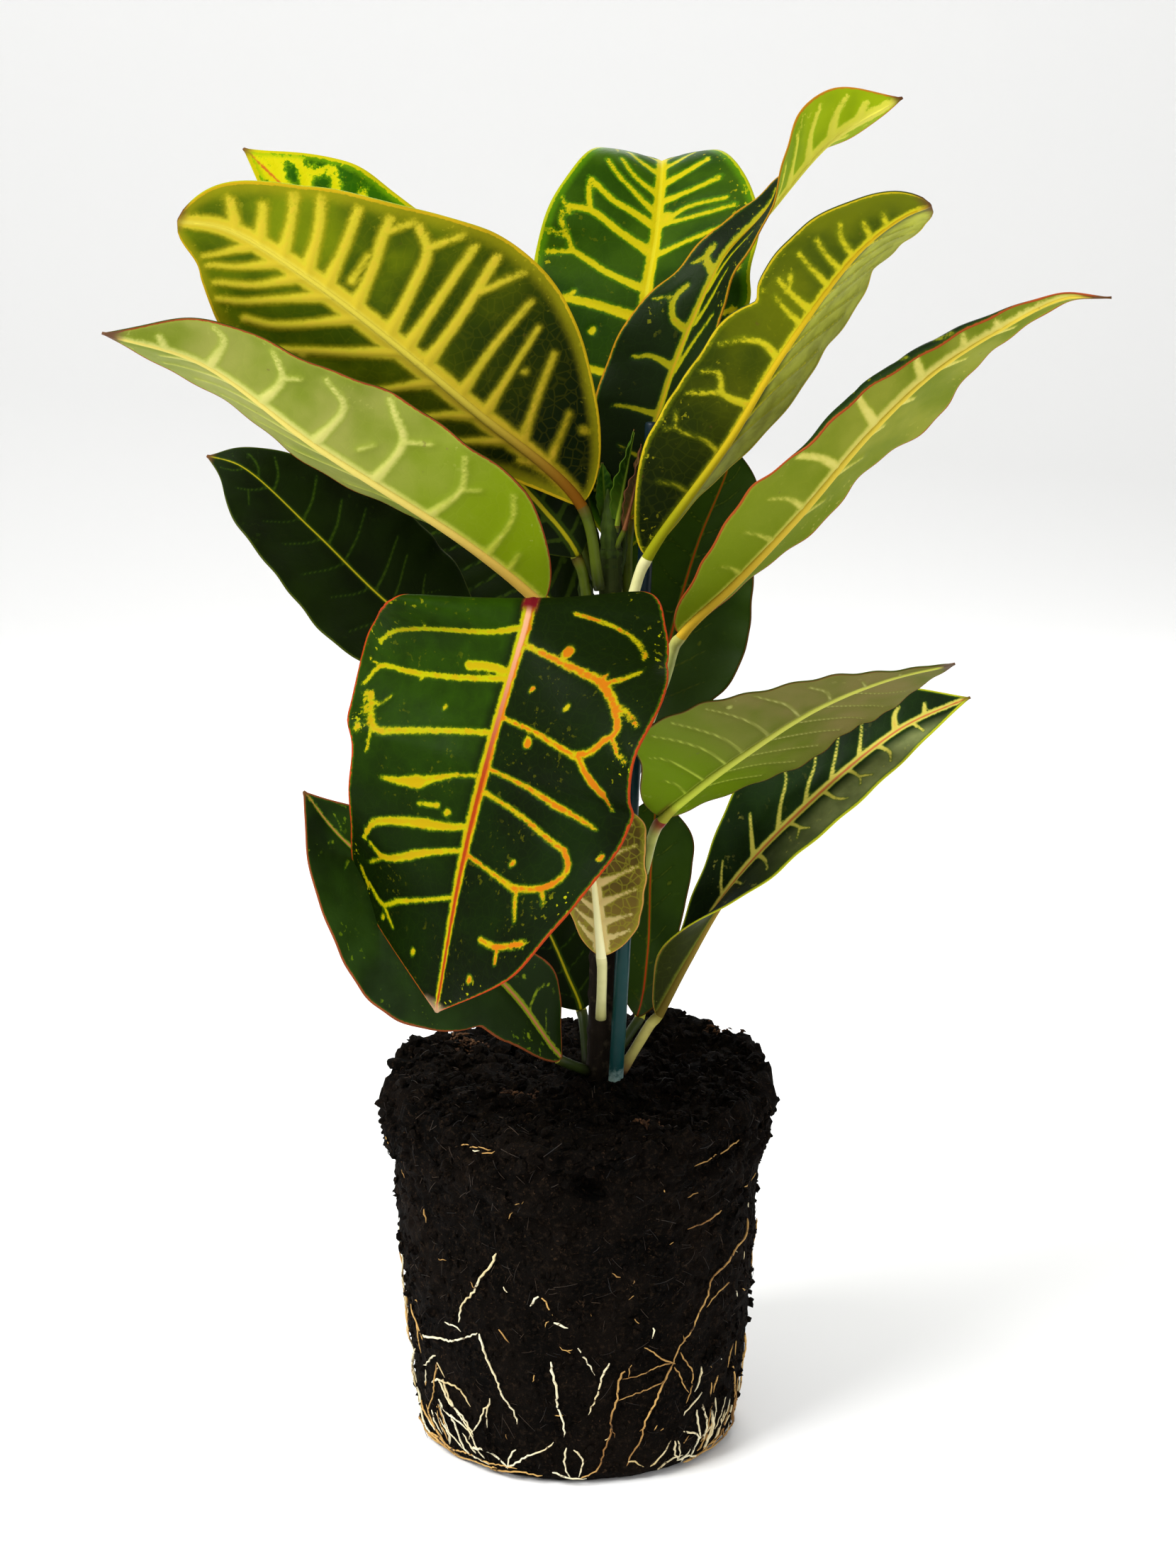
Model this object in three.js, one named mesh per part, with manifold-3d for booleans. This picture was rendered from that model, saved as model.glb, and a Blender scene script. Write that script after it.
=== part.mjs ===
// Croton lifted out of its pot: a pot-shaped ball of peat with roots over it, a woody stem, broad
// leaves on stalks all round the stem, and a thin plastic cane that holds the plant up.
// Millimetres, +Z up. The origin is the middle of the flat underside of the root ball, and the side
// with the big hanging leaf faces -Y.
import * as THREE from 'three';
import Module from 'manifold-3d';

const wasm = await Module();
wasm.setup();

// Root ball: the inside shape of a 12 cm nursery pot, from the underside up to the rim step.
const BALL_HEIGHT = 106;
const BALL_PROFILE = [[44.5, 0], [47.2, 2.6], [48.4, 9], [51.6, 46], [54.6, 82], [58.4, 86.5], [59.4, 97], [58.6, 102.5], [56.2, 105.6]];
const BALL_SIDES = 36;
// Lumps and dips of the crumbly top: x, y, height, spread.
const TOP_LUMPS = [[33, 43, 8, 9], [52, 24, 7, 8], [-49, 16, 6, 9], [-30, 34, 3, 12], [14, 50, 4, 9], [-18, -30, -2.5, 14], [26, -32, -2, 13], [46, -12, 2.5, 12], [-44, -20, 2, 11]];
const SIDE_ROUGHNESS = 0.7;

// Stem: leans a little to +X; it stands in a plain hole in the peat.
const STEM_LOW = [6.2, 0, 62];
const STEM_SOIL = [7, 0, 107];
const STEM_TOP = [9.6, 0, 263];
const STEM_RADIUS_LOW = 4.7;
const STEM_RADIUS_TOP = 3.3;
const STEM_SIDES = 12;
const HOLE_GAP = 0.3;

// Cane: a straight round plastic rod beside the stem, pushed deep into the peat.
const CANE_LOW = [6.8, -9.3, 26];
const CANE_TOP = [21.2, -3.6, 300];
const CANE_RADIUS = 2.3;
const CANE_SIDES = 10;

// Leaves. A leaf stalk is a round rod, the blade a waved sheet of even thickness.
const BLADE_THICKNESS = 0.8;
const STALK_RADIUS = 1.8;
const FOOT_GAP = 0.3;

// Every leaf: foot = [direction round the stem in degrees, height], path = points of the midrib after
// the foot (the blade starts at number `base`), left and right = half widths at even steps from the
// blade's base to its tip, roll = turn of the blade about its midrib, fold = angle each half is raised
// towards the upper face, curl = how much more it bends out to the margin, wave = height of the waves
// of the margin, shoulder and blunt = how round the outline starts at the stalk and ends at the tip. Lists run evenly from base to tip. Left and right are seen from above the leaf.
const LEAVES = {
  leaf_back_left: { foot: [150, 256], path: [[-3, 10, 275], [-40, 24, 320], [-82, 34, 362], [-97, 38, 376]], left: [20, 28, 26, 18, 10], right: [20, 28, 30, 23, 18], roll: [-50, -60], fold: [10], wave: 1, waves: 2.5, phase: 0.3 },
  leaf_top_left: { foot: [-128, 254], path: [[1, -8, 277], [-29, -22, 305], [-69, -42, 339], [-91, -50, 353], [-103, -54, 355]], blunt: 0.55, left: [29, 40, 40, 31, 20], right: [10, 22, 30, 31, 26], roll: [75, 65, 50], fold: [10], wave: 0.7, waves: 2, phase: 0.1 },
  leaf_long_left: { foot: [-160, 230], path: [[-10, -14, 250], [-29, -22, 267], [-71, -34, 296], [-100, -40, 318], [-125, -46, 326]], left: [22, 26, 26, 21, 14], right: [5, 16, 20, 21, 18], roll: [45, 45, 35], foldLeft: [15], foldRight: [50, 35, 20], wave: 0.8, waves: 2.5, phase: 0.6 },
  leaf_dark_left: { foot: [178, 188], path: [[-30, -1, 229], [-55, -2, 249], [-75, -2, 269], [-95, 0, 287], [-105, 2, 290]], left: [20, 26, 24, 21, 15], right: [22, 26, 25, 20, 11], roll: [-45], fold: [12], wave: 0.8, waves: 2.5, phase: 0.2 },
  leaf_back_low_left: { foot: [125, 214], path: [[0, 16, 239], [-32, 34, 260], [-56, 44, 278]], left: [20, 25, 22, 12], right: [20, 25, 22, 12], roll: [-40], fold: [10], wave: 1.2, waves: 2, phase: 0.5 },
  leaf_upright: { foot: [70, 234], path: [[13, 12, 262], [17, 24, 302], [20, 32, 333], [23, 40, 351], [25, 56, 371.5], [25, 84, 371]], left: [18, 27, 33, 34.5, 30, 17], right: [18, 26, 33, 34, 28, 13], roll: [0], fold: [10, 14, 18], wave: 0.8, waves: 2.5, phase: 0.4 },
  leaf_twisted: { foot: [20, 240], path: [[15, 4, 272], [23, 4, 301], [29, 4, 319], [35, 5, 333], [42, 6, 346], [52, 8, 356], [71, 11, 377], [91, 12, 389]], left: [16, 19, 17, 10, 7, 8, 8], right: [8, 11, 12, 13, 15, 19, 15], roll: [70, 65, 60, 50, 30, 5, -25, -55, -65], foldLeft: [20, 20, 20, 30, 45, 40, 30], foldRight: [20, 25, 25, 20, 10, 5, 5], wave: 0.5, waves: 3, phase: 0.1 },
  leaf_right: { foot: [-62, 237], path: [[15.5, -9, 251], [19.5, -12, 263], [42, -24, 297], [55, -34, 320], [74, -44, 347], [85, -48, 356], [92, -50, 359]], base: 1, blunt: 0.5, left: [8, 17, 24, 35, 32], right: [17, 21, 20, 20, 19], roll: [-50, -40, -30], foldLeft: [45, 45, 45, 40, 20], foldRight: [5], wave: 1.2, waves: 3, phase: 0.45 },
  leaf_front: { foot: [-125, 200], path: [[-8, -30, 243], [-11, -40, 254], [-12, -49, 257], [-14, -56, 249], [-24, -60, 213], [-31, -62, 184], [-38, -62, 145]], base: 1, shoulder: 0.35, left: [41, 48, 42, 38.5, 27], right: [42, 52, 44, 39.5, 36.5], roll: [16, -14, -34, -40, -40, -40, -40, -40, -40], fold: [-3, 2, 5, 5, 5], wave: 0.8, waves: 2, phase: 0.2 },
  leaf_long_right: { foot: [0, 197], path: [[25, -4, 227], [29, -12, 241], [44, -18, 257], [62, -22, 277], [80, -26, 299], [96, -30, 315], [112, -34, 326], [130, -36, 335], [142, -38, 335]], base: 1, left: [7, 15, 19, 27, 20, 13], right: [16, 22, 23, 20, 16, 7], roll: [-27], foldLeft: [10], foldRight: [10, 10, 20, 40, 50, 30], curlRight: [-5, -5, -50, -100, -110, -50], wave: 1, waves: 3.5, phase: 0.3 },
  leaf_dark_right: { foot: [50, 184], path: [[21, 14, 209], [29, 26, 240], [36, 34, 262], [44, 44, 280], [47, 50, 289]], left: [20, 25, 25, 23, 18, 12], right: [20, 25, 25, 23, 18, 12], roll: [10], fold: [10], wave: 1, waves: 2.5, phase: 0.7 },
  leaf_low_right: { foot: [5, 152], path: [[19, -3, 170], [24, -16, 189], [34, -20, 199], [47, -26, 210], [66, -34, 224], [85, -40, 233], [102, -46, 238]], base: 1, left: [16, 24, 26, 26, 16], right: [22, 26, 20, 10, 4], roll: [-32], fold: [10], wave: 0.8, waves: 3, phase: 0.2 },
  leaf_right_lowest: { foot: [-10, 110], path: [[23, -5, 128], [31, -7, 144], [43, -8, 165], [61, -8, 186], [92, -4, 212], [113, 0, 221]], left: [6, 12, 19, 22, 14], right: [11, 13, 12, 12.5, 9], roll: [30, 40, 40], foldLeft: [20], foldRight: [110, 95, 55, 25, 15, 10, 10, 10, 10], wave: 0.8, waves: 2.5, phase: 0.6 },
  leaf_dark_low: { foot: [60, 111], path: [[18, 15, 121], [21, 22, 138], [22, 30, 161], [24, 38, 185]], left: [10, 9, 11, 13, 12], right: [10, 9, 11, 13, 12], roll: [0], fold: [12], wave: 0.8, waves: 2, phase: 0.3 },
  leaf_small_front: { foot: [-95, 128], path: [[7, -11, 147], [5, -14, 170], [2, -18, 188], [1, -20, 200]], left: [13, 16, 18.5, 18], right: [12, 16, 13, 9], roll: [0], fold: [10], wave: 0.5, waves: 2, phase: 0.1, stalk: 1.7 },
  leaf_low_left: { foot: [-150, 110], path: [[-5, -10, 116], [-18, -16, 136], [-41, -23, 162], [-67, -29, 187], [-76, -32, 200]], left: [14, 26, 35, 31, 20], right: [14, 12, 18, 18, 12], roll: [-60], fold: [15], wave: 1, waves: 3, phase: 0.55 },
  leaf_behind_low: { foot: [130, 110], path: [[1, 12, 124], [-3, 16, 133], [-9, 20, 146], [-21, 26, 166]], left: [12, 16, 16, 14, 9], right: [12, 16, 16, 14, 9], roll: [-30], fold: [12], wave: 0.8, waves: 2, phase: 0.8 },
  leaf_under_left: { foot: [178, 240], path: [[0, -3, 262], [-12, -3, 278], [-25, -3, 291], [-37, -4, 302]], left: [12, 18, 16, 9], right: [12, 18, 16, 9], roll: [-75], fold: [15], wave: 0.6, waves: 2, phase: 0.4 },
  leaf_back_middle: { foot: [80, 168], path: [[10, 20, 190], [10, 46, 212], [6, 76, 228], [0, 102, 230]], left: [20, 26, 24, 14], right: [20, 26, 24, 14], roll: [0], fold: [12], wave: 1.2, waves: 2.5, phase: 0.2 },
  leaf_back_low: { foot: [135, 156], path: [[-2, 11, 171], [-16, 34, 188], [-28, 58, 198], [-36, 80, 200]], left: [15, 21, 19, 12], right: [15, 21, 19, 12], roll: [-10], fold: [12], wave: 1, waves: 2.5, phase: 0.6 },
  leaf_young_tall: { top: [1.2, 0.4], path: [[11, -2, 271], [13, -4, 283], [16, -5, 298]], left: [3, 4.5, 3.5, 2], right: [3, 4.5, 3.5, 2], roll: [10], fold: [25], wave: 0.2, waves: 2, phase: 0, stalk: 1.0 },
  leaf_young_left: { top: [-1.6, 1.2], path: [[8, 2, 271], [7.5, 3, 279], [7, 4, 288]], left: [3, 3.5, 3, 2], right: [3, 3.5, 3, 2], roll: [0], fold: [25], wave: 0.2, waves: 2, phase: 0.5, stalk: 0.9 },
  leaf_young_red: { top: [1.4, -2.0], path: [[13, -4, 270], [16, -6, 282], [18, -6, 294]], left: [2, 3, 2.5, 1.5], right: [2, 3, 2.5, 1.5], roll: [0], fold: [25], wave: 0.2, waves: 2, phase: 0.2, stalk: 0.9 },
};
const YOUNG_FOOT_HEIGHT = 264.2;

// Net of roots: a ring lies round the bottom edge of the ball and thicker roots run up from it.
const ROOT_RADIUS = 1.0;
const ROOT_LIFT = 0.35;
// Each root: direction in degrees and height of its points, seen from the middle of the ball.
const ROOT_RUNS = [
  [[-64, 3], [-61, 14], [-57, 24], [-52, 34], [-47, 45], [-40, 58], [-34, 68]],
  [[-54, 30], [-60, 34], [-66, 33]],
  [[-72, 3], [-69, 16], [-60, 28]],
  [[-116, 3], [-119, 14], [-127, 25]],
  [[-132, 3], [-137, 15], [-146, 24], [-150, 34]],
  [[-98, 3], [-95, 12], [-99, 26]],
  [[-35, 3], [-31, 16], [-24, 27]],
  [[20, 3], [26, 20], [21, 38], [30, 56]],
  [[62, 3], [55, 18], [60, 36]],
  [[104, 3], [112, 18], [106, 34], [114, 50], [110, 63]],
  [[150, 3], [144, 20], [152, 40]],
  [[-170, 3], [-176, 16], [-170, 31]],
];

const COLOURS = {
  peat: 0x1f1712, root: 0xd8c79a, bark: 0x4a3a2a, cane: 0x1f7f86,
  dark: 0x1f4a1e, green: 0x2f6b22, olive: 0x8c9440, brown: 0x77603a, red: 0x6d3a2c,
};

function smoothList(values, t) {
  const n = values.length;
  if (n === 1) return values[0];
  const x = Math.min(Math.max(t, 0), 1) * (n - 1);
  const i = Math.min(Math.floor(x), n - 2);
  const f = x - i;
  const a = i > 0 ? values[i - 1] : 2 * values[0] - values[1];
  const b = values[i], c = values[i + 1];
  const d = i + 2 < n ? values[i + 2] : 2 * values[n - 1] - values[n - 2];
  return b + 0.5 * f * (c - a + f * (2 * a - 5 * b + 4 * c - d + f * (3 * (b - c) + d - a)));
}

function noise(a, b) {
  const s = Math.sin(a * 127.1 + b * 311.7 + 17.3) * 43758.5453;
  return (s - Math.floor(s)) * 2 - 1;
}

// Smooth curve through points; the knots grow with the square root of the distance.
function curve(points, per = 24) {
  const p = points.map(q => new THREE.Vector3(...q));
  const first = p[0].clone().multiplyScalar(2).sub(p[1]);
  const last = p[p.length - 1].clone().multiplyScalar(2).sub(p[p.length - 2]);
  const all = [first, ...p, last];
  const k = [0];
  for (let i = 1; i < p.length; i++) k.push(k[i - 1] + Math.sqrt(p[i].distanceTo(p[i - 1])));
  const knots = [2 * k[0] - k[1], ...k, 2 * k[k.length - 1] - k[k.length - 2]];
  const mix = (A, B, ta, tb, t) => A.clone().multiplyScalar((tb - t) / (tb - ta)).add(B.clone().multiplyScalar((t - ta) / (tb - ta)));
  const out = [];
  for (let i = 1; i < p.length; i++) {
    const [t0, t1, t2, t3] = knots.slice(i - 1, i + 3);
    const [P0, P1, P2, P3] = all.slice(i - 1, i + 3);
    for (let m = 0; m < per; m++) {
      const t = t1 + (t2 - t1) * m / per;
      const A1 = mix(P0, P1, t0, t1, t), A2 = mix(P1, P2, t1, t2, t), A3 = mix(P2, P3, t2, t3, t);
      out.push(mix(mix(A1, A2, t0, t2, t), mix(A2, A3, t1, t3, t), t1, t2, t));
    }
  }
  out.push(p[p.length - 1].clone());
  return out;
}

function lengths(points) {
  const s = [0];
  for (let i = 1; i < points.length; i++) s.push(s[i - 1] + points[i].distanceTo(points[i - 1]));
  return s;
}

function at(points, s, want) {
  if (want <= 0) return points[0].clone();
  if (want >= s[s.length - 1]) return points[points.length - 1].clone();
  let i = 1;
  while (s[i] < want) i++;
  return points[i - 1].clone().lerp(points[i], (want - s[i - 1]) / (s[i] - s[i - 1]));
}

function solid(rings, firstCap, lastCap) {
  // Closed body from rings of equal length, with a middle point at each end.
  const n = rings[0].length;
  const verts = rings.flat().concat([firstCap, lastCap]);
  const tris = [];
  for (let i = 0; i < rings.length - 1; i++) {
    for (let j = 0; j < n; j++) {
      const a = i * n + j, b = i * n + (j + 1) % n, c = a + n, d = b + n;
      // the lower half of a ring is split the other way round, so that both faces of a blade match
      if (j < n / 2) tris.push([a, b, d], [a, d, c]); else tris.push([a, b, c], [b, d, c]);
    }
  }
  const f = verts.length - 2, l = verts.length - 1, m = (rings.length - 1) * n;
  for (let j = 0; j < n; j++) {
    tris.push([f, (j + 1) % n, j]);
    tris.push([l, m + j, m + (j + 1) % n]);
  }
  return { verts, tris };
}

function volume({ verts, tris }) {
  let v = 0;
  for (const [a, b, c] of tris) v += verts[a].dot(verts[b].clone().cross(verts[c])) / 6;
  return v;
}

function outward(body) {
  if (volume(body) < 0) body.tris = body.tris.map(([a, b, c]) => [a, c, b]);
  return body;
}

function toManifold(body) {
  outward(body);
  const vertProperties = new Float32Array(body.verts.length * 3);
  body.verts.forEach((p, i) => vertProperties.set([p.x, p.y, p.z], i * 3));
  const triVerts = new Uint32Array(body.tris.flat());
  return new wasm.Manifold(new wasm.Mesh({ numProp: 3, vertProperties, triVerts }));
}

function fromManifold(m) {
  const mesh = m.getMesh();
  const verts = [];
  for (let i = 0; i < mesh.vertProperties.length; i += mesh.numProp) {
    verts.push(new THREE.Vector3(mesh.vertProperties[i], mesh.vertProperties[i + 1], mesh.vertProperties[i + 2]));
  }
  const tris = [];
  for (let i = 0; i < mesh.triVerts.length; i += 3) tris.push([mesh.triVerts[i], mesh.triVerts[i + 1], mesh.triVerts[i + 2]]);
  return { verts, tris };
}

const plant = new THREE.Group();

function add(name, body, colour, roughness = 0.6) {
  outward(body);
  const g = new THREE.BufferGeometry();
  g.setAttribute('position', new THREE.Float32BufferAttribute(body.verts.flatMap(p => [p.x, p.y, p.z]), 3));
  g.setIndex(body.tris.flat());
  g.computeVertexNormals();
  const mesh = new THREE.Mesh(g, new THREE.MeshStandardMaterial({ color: colour, roughness, metalness: 0 }));
  mesh.name = name;
  plant.add(mesh);
}

// A straight rod between two points.
function rod(low, top, r0, r1, sides, sections = 1) {
  const a = new THREE.Vector3(...low), b = new THREE.Vector3(...top);
  const d = b.clone().sub(a).normalize();
  const x = new THREE.Vector3(1, 0, 0).addScaledVector(d, -d.x).normalize();
  const y = d.clone().cross(x);
  const rings = [];
  for (let i = 0; i <= sections; i++) {
    const c = a.clone().lerp(b, i / sections), r = r0 + (r1 - r0) * i / sections;
    rings.push(Array.from({ length: sides }, (_, j) => {
      const t = 2 * Math.PI * j / sides;
      return c.clone().addScaledVector(x, r * Math.cos(t)).addScaledVector(y, r * Math.sin(t));
    }));
  }
  return solid(rings, a, b);
}

function stemAt(z) {
  const f = (z - STEM_SOIL[2]) / (STEM_TOP[2] - STEM_SOIL[2]);
  return {
    x: STEM_SOIL[0] + (STEM_TOP[0] - STEM_SOIL[0]) * f,
    r: STEM_RADIUS_LOW + (STEM_RADIUS_TOP - STEM_RADIUS_LOW) * Math.max(0, f),
  };
}

// Blade and stalk of one leaf as a single closed body: the round ring of the stalk opens into the
// flat, folded and waved ring of the blade.
function leafBody(leaf, steps, half) {
  const stalk = leaf.stalk ?? STALK_RADIUS;
  let foot;
  if (leaf.foot) {
    const angle = leaf.foot[0] * Math.PI / 180;
    const s = stemAt(leaf.foot[1]);
    const next = leaf.path[0];
    const out = Math.hypot(next[0] - s.x, next[1]) - s.r, up = next[2] - leaf.foot[1];
    const steep = up / Math.hypot(out, up);
    const reach = s.r + FOOT_GAP + stalk * steep;
    foot = [s.x + reach * Math.cos(angle), reach * Math.sin(angle), leaf.foot[1]];
  } else {
    foot = [STEM_TOP[0] + leaf.top[0], leaf.top[1], YOUNG_FOOT_HEIGHT];
  }
  const per = 24;
  const line = curve([foot, ...leaf.path], per);
  const s = lengths(line);
  const total = s[s.length - 1];
  const base = s[per * ((leaf.base ?? 0) + 1)];
  const stalkSteps = 3;
  const wants = [];
  for (let i = 0; i < stalkSteps; i++) wants.push(base * i / stalkSteps);
  for (let i = 0; i <= steps; i++) wants.push(base + (total - base) * i / steps);
  const up = new THREE.Vector3(0, 0, 1);
  const rings = [];
  const n = 2 * half + 1;
  const widths = side => {
    const v = [0, ...leaf[side], 0];
    return t => {
      const x = t * (v.length - 1), last = v.length - 2;
      if (x < 1) return leaf[side][0] * x ** (leaf.shoulder ?? 0.65);
      if (leaf.blunt && x > last) return v[last] * (last + 1 - x) ** leaf.blunt;
      return Math.max(0, smoothList(v, t));
    };
  };
  const wide = { left: widths('left'), right: widths('right') };
  let tip = null;
  wants.forEach((want, i) => {
    const P = at(line, s, want);
    const e = 1.5;
    const T = at(line, s, want + e).sub(at(line, s, want - e)).normalize();
    let N = up.clone().addScaledVector(T, -T.z).normalize();
    let B = T.clone().cross(N);
    const t = Math.max(0, (want - base) / (total - base));
    const roll = smoothList(leaf.roll, t) * Math.PI / 180;
    const turned = N.clone().multiplyScalar(Math.cos(roll)).addScaledVector(B, Math.sin(roll));
    B = T.clone().cross(turned);
    N = turned;
    const ring = [];
    if (i <= stalkSteps) {
      const grow = i === stalkSteps ? 1.15 : 1;
      for (let j = 0; j < 2 * n; j++) {
        // points 0..n-1 run over the upper side from left to right, the rest back below it
        const a = j < n ? Math.PI * (1 - (j + 0.5) / n) : -Math.PI * (j - n + 0.5) / n;
        ring.push(P.clone().addScaledVector(B, stalk * grow * Math.cos(a)).addScaledVector(N, stalk * Math.sin(a) * (i === stalkSteps ? 0.8 : 1)));
      }
    } else {
      const upper = [], lower = [];
      const thick = BLADE_THICKNESS;
      for (let j = -half; j <= half; j++) {
        const side = j < 0 ? 'Left' : 'Right', sign = j < 0 ? -1 : 1, u = Math.abs(j) / half;
        const fold = smoothList(leaf['fold' + side] ?? leaf.fold, t) * Math.PI / 180;
        const curl = smoothList(leaf['curl' + side] ?? [-5], t) * Math.PI / 180 + 1e-6;
        const w = Math.max(wide[side.toLowerCase()](Math.min(t, 0.985)), 1.0);
        const x = w * (Math.sin(fold + curl * u) - Math.sin(fold)) / curl;
        const phase = leaf.phase + (j < 0 ? 0.4 : 0);
        const fade = Math.sin(Math.PI * Math.min(1, Math.max(0, t))) ** 0.5;
        const h = -w * (Math.cos(fold + curl * u) - Math.cos(fold)) / curl
          + leaf.wave * fade * u * u * Math.sin(2 * Math.PI * (leaf.waves * t + phase));
        // direction square to the blade here
        const lean = fold + curl * u;
        const face = N.clone().multiplyScalar(Math.cos(lean)).addScaledVector(B, -sign * Math.sin(lean));
        const flat = j === 0 ? N : face;
        const c = P.clone().addScaledVector(B, sign * x).addScaledVector(N, h);
        upper.push(c.clone().addScaledVector(flat, thick / 2));
        lower.unshift(c.clone().addScaledVector(flat, -thick / 2));
      }
      ring.push(...upper, ...lower);
    }
    rings.push(ring);
    tip = P;
  });
  return solid(rings, at(line, s, 0), tip);
}

// Root ball: turned profile with slight unevenness, a lumpy top and two plain holes.
function ballBody() {
  const rings = BALL_PROFILE.map(([r, z], k) => Array.from({ length: BALL_SIDES }, (_, j) => {
    const a = 2 * Math.PI * j / BALL_SIDES;
    const rough = k === 0 || k > 6 ? 0.4 : SIDE_ROUGHNESS;
    const rr = r + rough * noise(j, k);
    const x = rr * Math.cos(a), y = rr * Math.sin(a);
    return new THREE.Vector3(x, y, z + (k > 6 ? topLift(x, y) * (k - 6) / 2 : 0));
  }));
  for (const share of [0.8, 0.56, 0.32, 0.14]) {
    rings.push(Array.from({ length: BALL_SIDES }, (_, j) => {
      const a = 2 * Math.PI * j / BALL_SIDES;
      const r = 56 * share, x = r * Math.cos(a), y = r * Math.sin(a);
      const calm = share < 0.5 ? 0 : 1;
      return new THREE.Vector3(x, y, BALL_HEIGHT + calm * (topLift(x, y) + 0.9 * noise(j, share * 10)));
    }));
  }
  return solid(rings, new THREE.Vector3(0, 0, 0), new THREE.Vector3(0, 0, BALL_HEIGHT));
}

function topLift(x, y) {
  return TOP_LUMPS.reduce((z, [a, b, h, w]) => z + h * Math.exp(-((x - a) ** 2 + (y - b) ** 2) / (2 * w * w)), 0);
}

function along(a, b, z) {
  return a.map((v, i) => v + (b[i] - v) * (z - a[2]) / (b[2] - a[2]));
}

const stemHole = rod(along(STEM_LOW, STEM_SOIL, STEM_LOW[2] - HOLE_GAP), along(STEM_LOW, STEM_SOIL, 125),
  STEM_RADIUS_LOW + HOLE_GAP + 0.1, STEM_RADIUS_LOW + HOLE_GAP + 0.1, STEM_SIDES);
const caneHole = rod(along(CANE_LOW, CANE_TOP, CANE_LOW[2] - HOLE_GAP), along(CANE_LOW, CANE_TOP, 125),
  CANE_RADIUS + HOLE_GAP, CANE_RADIUS + HOLE_GAP, CANE_SIDES);
const ball = toManifold(ballBody()).subtract(toManifold(stemHole)).subtract(toManifold(caneHole));
add('root_ball', fromManifold(ball), COLOURS.peat, 1);

// Roots: rods of few sides along the ball's surface, all grown together with the ring at the bottom.
function ballRadius(z) {
  for (let i = 1; i < BALL_PROFILE.length; i++) {
    const [r0, z0] = BALL_PROFILE[i - 1], [r1, z1] = BALL_PROFILE[i];
    if (z <= z1) return r0 + (r1 - r0) * (z - z0) / (z1 - z0);
  }
  return BALL_PROFILE[BALL_PROFILE.length - 1][0];
}

function surfacePoint(angle, z, lift) {
  const a = angle * Math.PI / 180, r = ballRadius(z) + lift;
  return new THREE.Vector3(r * Math.cos(a), r * Math.sin(a), z);
}

function tube(points, r0, r1, sides, closed = false) {
  const n = points.length;
  const rings = points.map((p, i) => {
    const before = points[closed ? (i - 1 + n) % n : Math.max(i - 1, 0)];
    const after = points[closed ? (i + 1) % n : Math.min(i + 1, n - 1)];
    const T = after.clone().sub(before).normalize();
    const out = new THREE.Vector3(p.x, p.y, 0).normalize();
    out.addScaledVector(T, -out.dot(T)).normalize();
    const side = T.clone().cross(out);
    const r = r0 + (r1 - r0) * i / (n - 1);
    return Array.from({ length: sides }, (_, j) => {
      const a = 2 * Math.PI * (j + 0.5) / sides;
      return p.clone().addScaledVector(out, r * Math.cos(a)).addScaledVector(side, r * Math.sin(a));
    });
  });
  if (!closed) return solid(rings, points[0].clone(), points[n - 1].clone());
  const verts = rings.flat(), tris = [];
  for (let i = 0; i < n; i++) {
    for (let j = 0; j < sides; j++) {
      const a = i * sides + j, b = i * sides + (j + 1) % sides;
      const c = ((i + 1) % n) * sides + j, d = ((i + 1) % n) * sides + (j + 1) % sides;
      tris.push([a, b, d], [a, d, c]);
    }
  }
  return { verts, tris };
}

const lift = SIDE_ROUGHNESS + ROOT_LIFT + ROOT_RADIUS;
const ringPoints = Array.from({ length: 48 }, (_, j) => surfacePoint(j * 7.5, 3 + 0.6 * noise(j, 3), lift));
let net = toManifold(tube(ringPoints, ROOT_RADIUS * 1.2, ROOT_RADIUS * 1.2, 5, true));
for (const run of ROOT_RUNS) {
  const line = curve(run.map(([a, z]) => [a, z, 0]), 3).map(p => surfacePoint(p.x, p.y, lift));
  net = net.add(toManifold(tube(line, ROOT_RADIUS, ROOT_RADIUS * 0.7, 5)));
}
add('root_net', fromManifold(net), COLOURS.root, 0.9);

function stemBody() {
  const stops = [[STEM_LOW, STEM_RADIUS_LOW], [STEM_SOIL, STEM_RADIUS_LOW], ...[0.25, 0.5, 0.75, 1].map(f => [
    STEM_SOIL.map((v, i) => v + (STEM_TOP[i] - v) * f), STEM_RADIUS_LOW + (STEM_RADIUS_TOP - STEM_RADIUS_LOW) * f])];
  const rings = stops.map(([c, r]) => Array.from({ length: STEM_SIDES }, (_, j) => {
    const a = 2 * Math.PI * j / STEM_SIDES;
    return new THREE.Vector3(c[0] + r * Math.cos(a), c[1] + r * Math.sin(a), c[2]);
  }));
  return solid(rings, new THREE.Vector3(...STEM_LOW), new THREE.Vector3(...STEM_TOP));
}
add('stem', stemBody(), COLOURS.bark, 0.9);
add('cane', rod(CANE_LOW, CANE_TOP, CANE_RADIUS, CANE_RADIUS, CANE_SIDES), COLOURS.cane, 0.4);

const LOOK = {
  leaf_top_left: 'olive', leaf_long_left: 'olive', leaf_right: 'olive', leaf_long_right: 'olive', leaf_low_right: 'olive',
  leaf_small_front: 'brown', leaf_young_red: 'red', leaf_upright: 'green', leaf_back_left: 'green',
};
for (const [name, leaf] of Object.entries(LEAVES)) {
  const small = leaf.top !== undefined;
  const winding = name === 'leaf_twisted' || name === 'leaf_long_right' || name === 'leaf_right_lowest' || name === 'leaf_front';
  add(name, leafBody(leaf, small ? 5 : winding ? 16 : 11, small ? 2 : winding ? 4 : 3), COLOURS[LOOK[name] ?? 'dark'], 0.45);
}

export default plant;
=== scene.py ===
import math
import random
from functools import partial

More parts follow.
